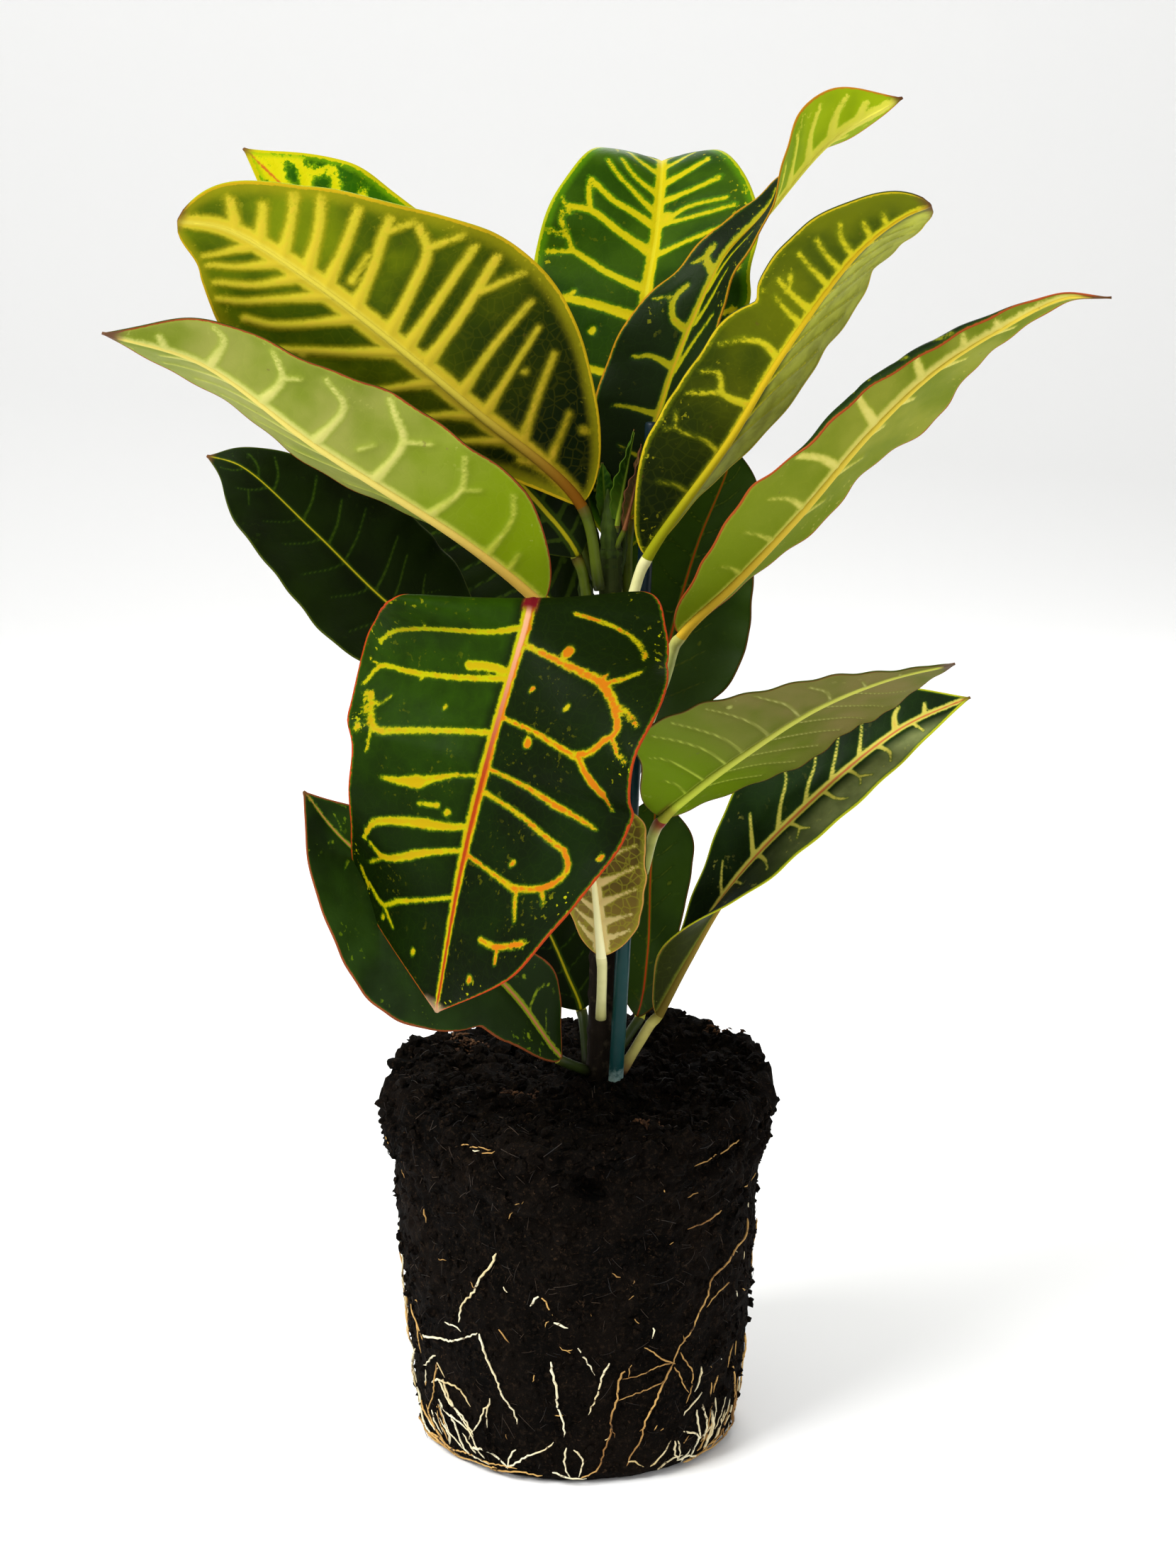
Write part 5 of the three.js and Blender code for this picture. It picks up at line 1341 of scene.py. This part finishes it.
def leaf_finish(name, chips, tip=BROWN, painted_sheen=GREEN_PAINTED_SHEEN, shine=0.05, coat=0.0, dull=0.0, **numbers):
    """One face of a leaf. chips follow the order of LEAF_PAINTS, numbers are named as in LEAF_NUMBERS."""
    finish, tree, shader = new_finish(name)
    marked = put(tree, "ShaderNodeGroup", node_tree=leaf_markings)
    for key, chip in zip(LEAF_PAINTS, chips + [tip, painted_sheen, JOINT_RED]):
        marked.inputs[key].default_value = paint(*chip)
    for key, value in numbers.items():
        marked.inputs[key.replace("_", " ").title()].default_value = value
    rough = put(tree, "ShaderNodeMath", {0: marked.outputs["Roughness"], 1: dull}, operation="ADD").outputs[0]
    relief = emboss(tree, marked.outputs["Relief"], strength=0.5, distance=0.0003)
    feed(tree, shader, {"Base Color": marked.outputs["Colour"], "Roughness": rough, "Normal": relief,
                        "Specular IOR Level": shine, "Coat Weight": coat, "Coat Roughness": COAT_ROUGHNESS})
    return finish


# Finishes of the faces and of the backs. The sheen colour of a finish is a painted sheen, and on the front
# face the tone of its lit half. Most backs are painted lighter and yellower: partly their own paler tone,
# partly a painted glow of the light that shines through the thin blade from behind.
FINISHES = {
    "front": leaf_finish("leaf face with orange-cored veins", [
        (12, 27, 1), (8, 17, 1), (12, 24, 1), (156, 156, 2), (150, 164, 2), (172, 98, 8), (142, 50, 12),
        (214, 160, 120), (60, 90, 1), (160, 56, 18)],
        tip=(160, 130, 100), shine=0.03, dull=0.06, painted_sheen=(31, 56, 1), raggedness=1.5, softness=0.7,
        flare=0.1, halo_width=0.9, core_depth=0.3, core_amount=1, specks=0.9, joint_reach=0.105,
        joint_amount=1),
    "vivid": leaf_finish("bright leaf face", [
        (58, 88, 6), (34, 62, 2), (12, 34, 0), (174, 164, 6), (170, 160, 4), (190, 164, 14),
        (186, 174, 24), (180, 170, 10), (80, 128, 2), (150, 156, 8)],
        shine=0.03, dull=0.06, raggedness=1.3, softness=0.7, growth=0.0, flare=0.3, halo_width=1.1,
        core_amount=0.6, margin_width=0.9, specks=0.8, margin_glow=3, shade_start=0.95),
    "deep": leaf_finish("dark leaf face", [
        (17, 30, 1), (10, 18, 1), (12, 22, 1), (40, 60, 5), (38, 54, 5), (66, 76, 10), (178, 162, 24),
        (160, 150, 14), (18, 36, 2), (56, 64, 8)],
        raggedness=0.4, growth=0.05, halo_width=0.6, core_depth=1.2, margin_width=0.25, specks=0.25),
    "deep red": leaf_finish("dark leaf face with a red midrib", [
        (44, 66, 12), (30, 50, 8), (36, 54, 9), (66, 90, 14), (44, 64, 4), (140, 90, 30), (170, 66, 14),
        (164, 46, 12), (24, 46, 2), (80, 56, 14)],
        raggedness=0.4, growth=0.0, halo_width=0.6, core_depth=1.2, margin_width=0.25, specks=0.25),
    "ribbon": leaf_finish("dark leaf face with an orange margin", [
        (26, 46, 10), (14, 30, 5), (20, 38, 5), (120, 126, 16), (110, 116, 14), (140, 116, 24),
        (176, 150, 26), (170, 148, 20), (50, 74, 8), (150, 68, 26)],
        core_depth=1.2, specks=0.6, tip_start=0.97),
    "glossy": leaf_finish("glossy leaf face", [
        (30, 53, 4), (12, 25, 1), (20, 36, 2), (108, 138, 8), (116, 144, 12), (190, 150, 50),
        (186, 112, 66), (190, 116, 74), (34, 70, 4), (130, 66, 32)],
        shine=0.06, coat=0.03, painted_sheen=(90, 120, 70), halo_width=0.6, core_depth=1.2, core_amount=0.5,
        specks=0.6),
    "salmon": leaf_finish("leaf face with a salmon midrib", [
        (24, 44, 11), (12, 28, 5), (14, 26, 4), (204, 198, 84), (200, 186, 80), (206, 150, 60),
        (196, 112, 60), (186, 104, 56), (58, 92, 12), (176, 180, 30)],
        shine=0.08, painted_sheen=(170, 178, 110), raggedness=0.5, flare=0.2, halo_width=0.6, core_depth=0.7,
        core_amount=0.6, margin_width=0.5, net=0.03),
    "mottled": leaf_finish("yellow-green leaf face", [
        (40, 86, 0), (20, 58, 0), (32, 74, 0), (184, 182, 2), (178, 176, 2), (200, 176, 14),
        (180, 98, 26), (180, 90, 26), (108, 152, 0), (176, 168, 8)],
        shine=0.03, raggedness=2.6, softness=0.8, growth=0.5, flare=0.5, halo_width=1.4, core_amount=0.3,
        margin_width=1.1, specks=1, net=0.05, margin_glow=2.4),
    "twisted": leaf_finish("blue-green leaf face", [
        (23, 39, 8), (13, 24, 4), (15, 25, 4), (146, 146, 8), (118, 122, 6), (160, 122, 14),
        (160, 126, 14), (156, 128, 14), (46, 78, 4), (160, 112, 16)],
        shine=0.04, flare=0.3, growth=-0.15, halo_width=0.9, core_amount=0.7, specks=0.5),
    "young": leaf_finish("young leaf face", [
        (50, 92, 8), (30, 64, 5), (80, 106, 22), (62, 100, 14), (70, 104, 20), (90, 104, 24),
        (104, 130, 28), (124, 142, 34), (54, 94, 12), (70, 94, 14)],
        shine=0.1, raggedness=0.3, growth=-0.3, halo_width=0.3, margin_width=0.15, specks=0.1),
    "young red": leaf_finish("young red leaf face", [
        (84, 60, 28), (62, 46, 22), (80, 80, 28), (100, 76, 36), (110, 86, 42), (110, 80, 40),
        (130, 82, 48), (130, 82, 48), (90, 68, 32), (96, 56, 32)],
        shine=0.1, raggedness=0.3, growth=-0.3, halo_width=0.3, margin_width=0.15, specks=0.1),
    "gold": leaf_finish("olive leaf back with gold veins", [
        (112, 127, 6), (66, 85, 3), (8, 19, 0), (198, 186, 40), (128, 114, 6), (214, 172, 50),
        (212, 196, 66), (120, 72, 10), (158, 150, 16), (192, 160, 20)],
        shine=0.04, dull=0.12, raggedness=1.2, softness=1.4, growth=0.0, flare=0.7, halo_width=1.7,
        core_depth=0.6, margin_width=0.85, blemishes=0.15, tip_start=0.995, net=0.04, margin_glow=5,
        shade_start=0.88),
    "pale": leaf_finish("pale olive leaf back", [
        (142, 146, 66), (114, 128, 34), (122, 144, 8), (184, 186, 96), (178, 186, 40), (210, 198, 120),
        (212, 196, 100), (208, 166, 70), (142, 154, 52), (140, 60, 30)],
        tip=(100, 70, 50), dull=0.16, painted_sheen=(166, 170, 108), softness=1.5, growth=-0.2, flare=0.5,
        halo_width=1.4, core_depth=0.5, blemishes=0.4, tip_start=0.965, net=0.06, margin_glow=1),
    "olive": leaf_finish("olive leaf back", [
        (100, 108, 3), (64, 78, 2), (18, 28, 0), (196, 190, 26), (84, 98, 6), (208, 158, 28),
        (200, 168, 26), (140, 142, 14), (112, 122, 4), (190, 168, 22)],
        dull=0.12, painted_sheen=(186, 190, 64), raggedness=1.3, softness=1.0, growth=-0.25, flare=0.3,
        halo_width=1.4, core_depth=0.7, core_amount=0.5, margin_width=0.6, specks=0.5, blemishes=0.3,
        net=0.05, margin_glow=1.5, shade_start=0.8),
    "light": leaf_finish("light olive leaf back", [
        (138, 144, 48), (110, 124, 24), (112, 130, 16), (202, 194, 92), (170, 176, 44), (224, 212, 120),
        (214, 190, 66), (206, 166, 44), (144, 154, 40), (156, 84, 32)],
        tip=(104, 74, 44), dull=0.16, softness=1.2, growth=-0.2, flare=0.5, halo_width=1.2,
        core_depth=0.6, core_amount=0.5, blemishes=0.35, tip_start=0.955, net=0.06, margin_glow=1),
    "muted": leaf_finish("muted leaf back", [
        (114, 106, 56), (90, 98, 28), (96, 120, 4), (156, 156, 88), (164, 186, 44), (176, 180, 100),
        (186, 188, 80), (184, 198, 60), (108, 110, 40), (100, 62, 36)],
        tip=(92, 76, 60), shine=0.08, dull=0.16, raggedness=0.1, softness=0.8, growth=-0.05,
        core_amount=0.3, margin_width=0.3, specks=0.15, blemishes=0.3, tip_start=0.96, net=0.06,
        margin_glow=1, joint_amount=0.45),
    "brown": leaf_finish("brown leaf back with cream midrib", [
        (106, 84, 32), (70, 58, 20), (138, 114, 50), (210, 182, 116), (220, 202, 132), (224, 188, 130),
        (244, 236, 176), (250, 244, 190), (160, 156, 40), (206, 150, 76)],
        shine=0.08, dull=0.16, softness=0.7, growth=-0.3, flare=0.6, core_depth=0.5, margin_width=0.4,
        specks=0.1, blemishes=0.2, net=0.45, margin_glow=2.2),
    "plain": leaf_finish("green leaf back", [
        (82, 100, 26), (62, 80, 16), (70, 92, 12), (126, 144, 42), (126, 144, 42), (150, 160, 60),
        (172, 170, 60), (172, 170, 60), (94, 114, 30), (108, 70, 40)],
        dull=0.16, raggedness=0.4, growth=0, flare=0.2, softness=0.9, margin_width=0.4, blemishes=0.2,
        net=0.06),
    "lime": leaf_finish("lime leaf back", [
        (164, 186, 12), (130, 158, 5), (66, 94, 2), (222, 220, 66), (190, 180, 30), (230, 220, 90),
        (230, 222, 88), (214, 202, 50), (160, 184, 10), (196, 126, 28)],
        dull=0.12, raggedness=1.3, softness=1.0, growth=0.0, flare=0.7, halo_width=1.4, core_depth=0.7,
        specks=0.4, blemishes=0.2, net=0.06, margin_glow=1.5),
    "shaded": leaf_finish("shaded olive leaf back", [
        (78, 84, 24), (58, 66, 14), (36, 42, 5), (136, 144, 48), (90, 96, 24), (150, 150, 60),
        (170, 140, 56), (106, 90, 30), (80, 92, 20), (140, 104, 40)],
        shine=0.08, dull=0.12, raggedness=0.5, softness=0.9, growth=-0.2, flare=0.2, halo_width=0.9,
        core_amount=0.3, margin_width=0.35, blemishes=0.2, net=0.06),
}
# finish of each leaf's face and of its back
LOOKS = {
    "leaf_front": ("front", "pale"), "leaf_upright": ("vivid", "lime"),
    "leaf_top_left": ("vivid", "gold"), "leaf_long_left": ("deep", "pale"),
    "leaf_right": ("deep", "olive"), "leaf_long_right": ("ribbon", "light"),
    "leaf_low_right": ("deep", "muted"), "leaf_right_lowest": ("salmon", "shaded"),
    "leaf_small_front": ("deep", "brown"), "leaf_twisted": ("twisted", "lime"),
    "leaf_low_left": ("glossy", "plain"), "leaf_back_left": ("mottled", "lime"),
    "leaf_under_left": ("deep", "plain"), "leaf_dark_right": ("deep red", "plain"),
    "leaf_dark_low": ("deep red", "plain"), "leaf_young_tall": ("young", "young"),
    "leaf_young_left": ("young", "young"), "leaf_young_red": ("young red", "young red"),
}


def stalk_finish(name, foot, middle, joint):
    """Finish of a stalk: its colours at the stem, half way, and where the blade starts."""
    finish, tree, shader = new_finish(name)
    place = {"attribute_name": "along", "attribute_type": "GEOMETRY"}
    along = put(tree, "ShaderNodeAttribute", **place).outputs["Fac"]
    where = put(tree, "ShaderNodeTexCoord").outputs["Object"]
    mottle = grain(tree, where, 240, 3)
    tone = blend(tree, paint(*foot), paint(*middle), stretch(tree, along, -1.0, -0.7))
    tone = blend(tree, tone, paint(*joint), stretch(tree, along, -0.16, -0.02))
    tone = blend(tree, tone, paint(*foot), stretch(tree, mottle, 0.5, 0.8, 0.0, 0.45))
    relief = emboss(tree, mottle, strength=0.3, distance=0.0002)
    feed(tree, shader, {"Base Color": tone, "Normal": relief, "Roughness": 0.42, "Specular IOR Level": 0.15})
    return finish


STALKS = {
    "pale": stalk_finish("pale stalk", (116, 118, 52), (196, 202, 116), (190, 184, 96)),
    "cream": stalk_finish("cream stalk", (190, 186, 116), (226, 222, 158), (232, 226, 164)),
    "red joint": stalk_finish("stalk with a red joint", (116, 118, 52), (186, 190, 100), (128, 24, 34)),
    # the green stalk's foot colour is its tone in shade: painted shade near the stem, also used for its
    # darker mottles
    "green": stalk_finish("green stalk", (40, 48, 8), (86, 100, 22), (92, 78, 22)),
    "dark": stalk_finish("dark stalk", (30, 32, 14), (44, 56, 20), (60, 66, 24)),
    "tan": stalk_finish("tan stalk", (128, 92, 56), (206, 196, 110), (150, 140, 60)),
}
STALK_OF = {
    "leaf_front": "red joint", "leaf_low_right": "red joint", "leaf_small_front": "cream",
    "leaf_right_lowest": "tan", "leaf_right": "cream", "leaf_dark_low": "dark", "leaf_behind_low": "dark",
    "leaf_low_left": "dark", "leaf_dark_right": "dark", "leaf_long_right": "pale", "leaf_upright": "pale",
}
# how far the blade swells between its veins, in mm
QUILTED = 0.35
QUILTING = {
    "leaf_front": 0.3, "leaf_upright": 0.4, "leaf_dark_left": 0.15, "leaf_dark_right": 0.15,
    "leaf_dark_low": 0.15, "leaf_low_left": 0.25, "leaf_twisted": 0.4,
}
# how much of the veins of the left and of the right half turns orange
WARMTH = {
    "leaf_front": (1.0, 0.35),
}
# painted sheen: where a blade is painted paler, standing for light shining on it: how much on its left and
# its right half, then along the blade
PAINTED_SHEEN = {
    "leaf_right": (0.95, 0, [1]),
    "leaf_long_left": (0, 0.4, [1]),
    "leaf_right_lowest": (0, 0.45, [0, 0, 1, 1]),
    "leaf_front": (0, 1, [1, 1, 0.9, 0.3, 0, 0]),
    "leaf_low_left": (0.07, 0.015, [0, 1, 1, 0]),
}
# spacing of the blade's mesh in mm, where it isn't LEAF_STEP
GRID = {
    "leaf_front": 0.75, "leaf_upright": 0.87, "leaf_top_left": 0.9, "leaf_low_right": 0.85,
    "leaf_right_lowest": 0.77, "leaf_small_front": 0.7, "leaf_dark_left": 0.8, "leaf_back_left": 1.25,
    "leaf_back_middle": 1.4, "leaf_back_low": 1.4, "leaf_back_low_left": 1.3,
}


def leaf_course(leaf):
    """Reader of the leaf's line from stalk foot to tip, where the blade starts on it, its length."""
    line = smooth_line([stalk_foot(leaf)] + leaf["path"])
    s = np.concatenate([[0], np.cumsum(np.linalg.norm(np.diff(line, axis=0), axis=1))])
    base = s[LINE_STEPS * (leaf.get("base", 0) + 1)]
    length = s[-1] - base

    def read(want):
        return np.stack([np.interp(want, s, line[:, k]) for k in range(3)], 1)

    def stations(want):
        """Middle of the leaf, its direction, the way its upper face looks and the way to its right."""
        onward = read(want + 1.5) - read(want - 1.5)
        onward /= np.linalg.norm(onward, axis=1)[:, None]
        facing = np.array([0, 0, 1.0]) - onward * onward[:, 2:]
        facing /= np.linalg.norm(facing, axis=1)[:, None]
        roll = np.radians(even(leaf["roll"], (want - base) / length))[:, None]
        facing = facing * np.cos(roll) + np.cross(onward, facing) * np.sin(roll)
        return read(want), onward, facing, np.cross(onward, facing)

    return stations, base, length


def blade_section(leaf, tt, uu, right, fade):
    """Half width of the blade, and how far each point lies beside and above the midrib, in mm."""
    t, cols = tt[:, 0], tt.shape[1] // 2

    def by_side(make):
        return np.where(right, make("Right")[:, None], make("Left")[:, None])

    def bent(key, usual=None):
        return np.radians(by_side(lambda side: even(leaf.get(key + side, leaf.get(key, usual)), t)))

    w = by_side(lambda side: np.maximum(half_width(leaf, side.lower(), t), LEAST_HALF))
    for side, place, depth, spread in leaf.get("notches", []):
        bite = depth * np.exp(-np.abs((t - place) / spread) ** 1.5)[:, None]
        w = np.where(right == (side == "R"), np.maximum(w - bite, LEAST_HALF), w)
    hem = bent("hem", [0]) * np.clip((uu - 0.6) / 0.4, 0, 1) ** 1.5
    lean = bent("fold") + bent("curl", [-5]) * uu + hem
    x, h = np.zeros(lean.shape), np.zeros(lean.shape)
    for j in range(1, cols + 1):
        for here, before in ((cols + j, cols + j - 1), (cols - j, cols - j + 1)):
            middle_lean = (lean[:, here] + lean[:, before]) / 2
            x[:, here] = x[:, before] + w[:, here] * np.cos(middle_lean) / cols
            h[:, here] = h[:, before] + w[:, here] * np.sin(middle_lean) / cols
    phase = leaf["phase"] + np.where(right, 0, 0.4)
    h = h + leaf["wave"] * fade * uu ** 2 * np.sin(2 * np.pi * (leaf["waves"] * tt + phase))
    h = h + RIPPLE_HEIGHT * fade * uu ** 3 * np.sin(2 * np.pi * (RIPPLES * leaf["waves"] * tt + 2.1 * phase))
    return w, x, h


def blade_faces(name, leaf, stations, base, length):
    """Both faces of the blade as grids of points (mm), and the measures that its finish reads."""
    young = "top" in leaf
    step = YOUNG_STEP if young else GRID.get(name, LEAF_STEP)
    t = np.linspace(0, 1, int(length / step) + 2)
    widest = max(half_width(leaf, side, t).max() for side in ("left", "right"))
    cols = max(4, int(widest / step))
    u = np.linspace(-1, 1, 2 * cols + 1)
    tt, uu = np.meshgrid(t, np.abs(u), indexing="ij")
    sign = np.sign(u)[None, :]
    right = np.tile(u > 0, (len(t), 1))
    fade = np.sin(np.pi * tt) ** 0.5
    w, x, h = blade_section(leaf, tt, uu, right, fade)
    flat_x, edge = sign * uu * w, (1 - uu) * w
    vein, middle = stroke_distance(flat_x, tt * length, vein_strokes(name, leaf, length))
    rib_gap = np.abs(flat_x)
    band = even(RIB_BANDS.get(name, RIB_BAND), t)[:, None] / 2
    # the blade swells between its veins
    relief = YOUNG_RELIEF if young else 1.0
    swell = np.clip(np.minimum(middle, rib_gap) / 2.4, 0, 1)
    swell = swell ** 2 * (3 - 2 * swell) - 0.6
    h = h + relief * QUILTING.get(name, QUILTED) * swell * np.clip(edge / 5, 0, 1) * fade
    midrib, _, facing, beside = stations(base + length * t)
    surface = midrib[:, None] + beside[:, None] * (sign * x)[..., None] + facing[:, None] * h[..., None]
    normal = np.cross(np.gradient(surface, axis=1), np.gradient(surface, axis=0))
    size = np.linalg.norm(normal, axis=2)[..., None]
    normal = np.where(size > 1e-9, normal / (size + 1e-12), facing[:, None])
    thick = (MARGIN_HALF + INNER_MORE * np.clip(edge / 3, 0, 1)) * (0.5 if young else 1)
    ridge = relief * RIDGE_HEIGHT * np.exp(-(rib_gap / RIDGE_WIDTH) ** 2) * (1 - tt)
    raised = relief * VEIN_HEIGHT * np.exp(-(middle / VEIN_WIDTH) ** 2) * np.clip(edge / 4, 0, 1)
    upper = surface + normal * (thick + ridge)[..., None]
    lower = surface - normal * (thick + raised)[..., None]
    warm_left, warm_right = WARMTH.get(name, (0.7, 0.7))
    sheen_left, sheen_right, sheen_along = PAINTED_SHEEN.get(name, (0, 0, [0]))
    # painted sheen: how much of the paler lit tone each point gets, none within 2 mm of the midrib
    painted_sheen = np.where(right, sheen_right, sheen_left) * np.clip((rib_gap - 2) / 3, 0, 1)
    marks = {"vein": np.minimum(vein, rib_gap - band), "rib": rib_gap - band * 0.42, "edge": edge,
             "along": tt, "warm": np.where(right, warm_right, warm_left),
             "painted_sheen": painted_sheen * even(sheen_along, t)[:, None]}
    return upper, lower, marks


def stalk_tube(leaf, stations, base, length):
    """Rings of the stalk, which runs on as the midrib under the blade, and their place along it."""
    buried = np.linspace(-STALK_SINK, base, max(8, int(base / 1.5)))
    want = np.concatenate([buried, base + length * np.linspace(0, 0.97, 46)[1:]])
    line, onward, facing, beside = stations(np.maximum(want, 0))
    line[0] = line[0] - onward[0] * STALK_SINK
    free = want < base
    place = np.where(free, want / base - 1, (want - base) / length)
    swollen = 0.86 + 0.3 * np.clip(-place - 0.7, 0, 1) + 0.12 * np.clip(place + 0.2, 0, 1) * 5
    r = np.where(free, swollen, 0.92 - 0.72 * np.maximum(place, 0) ** 0.7) * leaf.get("stalk", STALK_RADIUS)
    drop = np.where(free, np.clip(1 + place * base / 4, 0, 1), 1) * r * 0.62
    a = np.linspace(0, 2 * np.pi, YOUNG_STALK_SIDES if "top" in leaf else STALK_SIDES, endpoint=False)
    flatness = np.where(free, 1.0, 0.78)[:, None, None]
    circle = np.cos(a)[None, :, None] * beside[:, None]
    circle = circle + flatness * np.sin(a)[None, :, None] * facing[:, None]
    return (line - facing * drop[:, None])[:, None] + r[:, None, None] * circle, place


def quads(*corners):
    return np.stack(corners, -1).reshape(-1, 4)


def build_leaf(name, leaf):
    """One leaf: both faces of its blade, the rim between them, and its stalk."""
    course = leaf_course(leaf)
    upper, lower, marks = blade_faces(name, leaf, *course)
    tube, place = stalk_tube(leaf, *course)
    rows, n = upper.shape[:2]
    sides = tube.shape[1]
    top = np.arange(rows * n).reshape(rows, n)
    low = top + rows * n
    ring = 2 * rows * n + np.arange(len(tube) * sides).reshape(len(tube), sides)
    beside = np.roll(ring, -1, axis=1)
    face = quads(top[:-1, :-1], top[:-1, 1:], top[1:, 1:], top[1:, :-1])
    back = quads(low[:-1, :-1], low[1:, :-1], low[1:, 1:], low[:-1, 1:])
    rim = np.concatenate([quads(top[:-1, -1], low[:-1, -1], low[1:, -1], top[1:, -1]),
                          quads(top[:-1, 0], top[1:, 0], low[1:, 0], low[:-1, 0]),
                          quads(top[-1, :-1], top[-1, 1:], low[-1, 1:], low[-1, :-1]),
                          quads(top[0, :-1], low[0, :-1], low[0, 1:], top[0, 1:])])
    rod = quads(ring[:-1], beside[:-1], beside[1:], ring[1:])
    verts = np.concatenate([points.reshape(-1, 3) for points in (upper, lower, tube)]) * MM
    faces = [tuple(f) for f in np.concatenate([face, rim, back, rod]).tolist()]
    faces += [tuple(ring[0][::-1]), tuple(ring[-1])]
    face_look, back_look = LOOKS.get(name, ("deep", "plain"))
    finishes = [FINISHES[face_look], FINISHES[back_look], STALKS[STALK_OF.get(name, "green")]]
    piece = place_mesh(name.replace("leaf_", "blade_"), verts, faces, finishes)
    # the free stalk has its own finish, and the part under the blade that of the blade's back
    rod_look = np.where(np.repeat(place[:-1], sides) < -0.001, 2, 1)
    looks = np.concatenate([np.zeros(len(face) + len(rim)), np.ones(len(back)), rod_look, [2, 1]])
    piece.data.polygons.foreach_set("material_index", looks.astype(np.int32))
    on_stalk = {"vein": -0.3, "rib": -1.0, "edge": 9.0, "along": np.repeat(place, sides), "warm": 0.5,
                "painted_sheen": 0.0}
    for label, blade in marks.items():
        stalk = np.full(len(tube) * sides, on_stalk[label])
        layer = piece.data.attributes.new(label, "FLOAT", "POINT")
        values = np.concatenate([blade.ravel(), blade.ravel(), stalk])
        layer.data.foreach_set("value", values.astype(np.float32))
    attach(piece, "root")
    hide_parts(name)


for leaf_name, leaf in LEAVES.items():
    build_leaf(leaf_name, leaf)
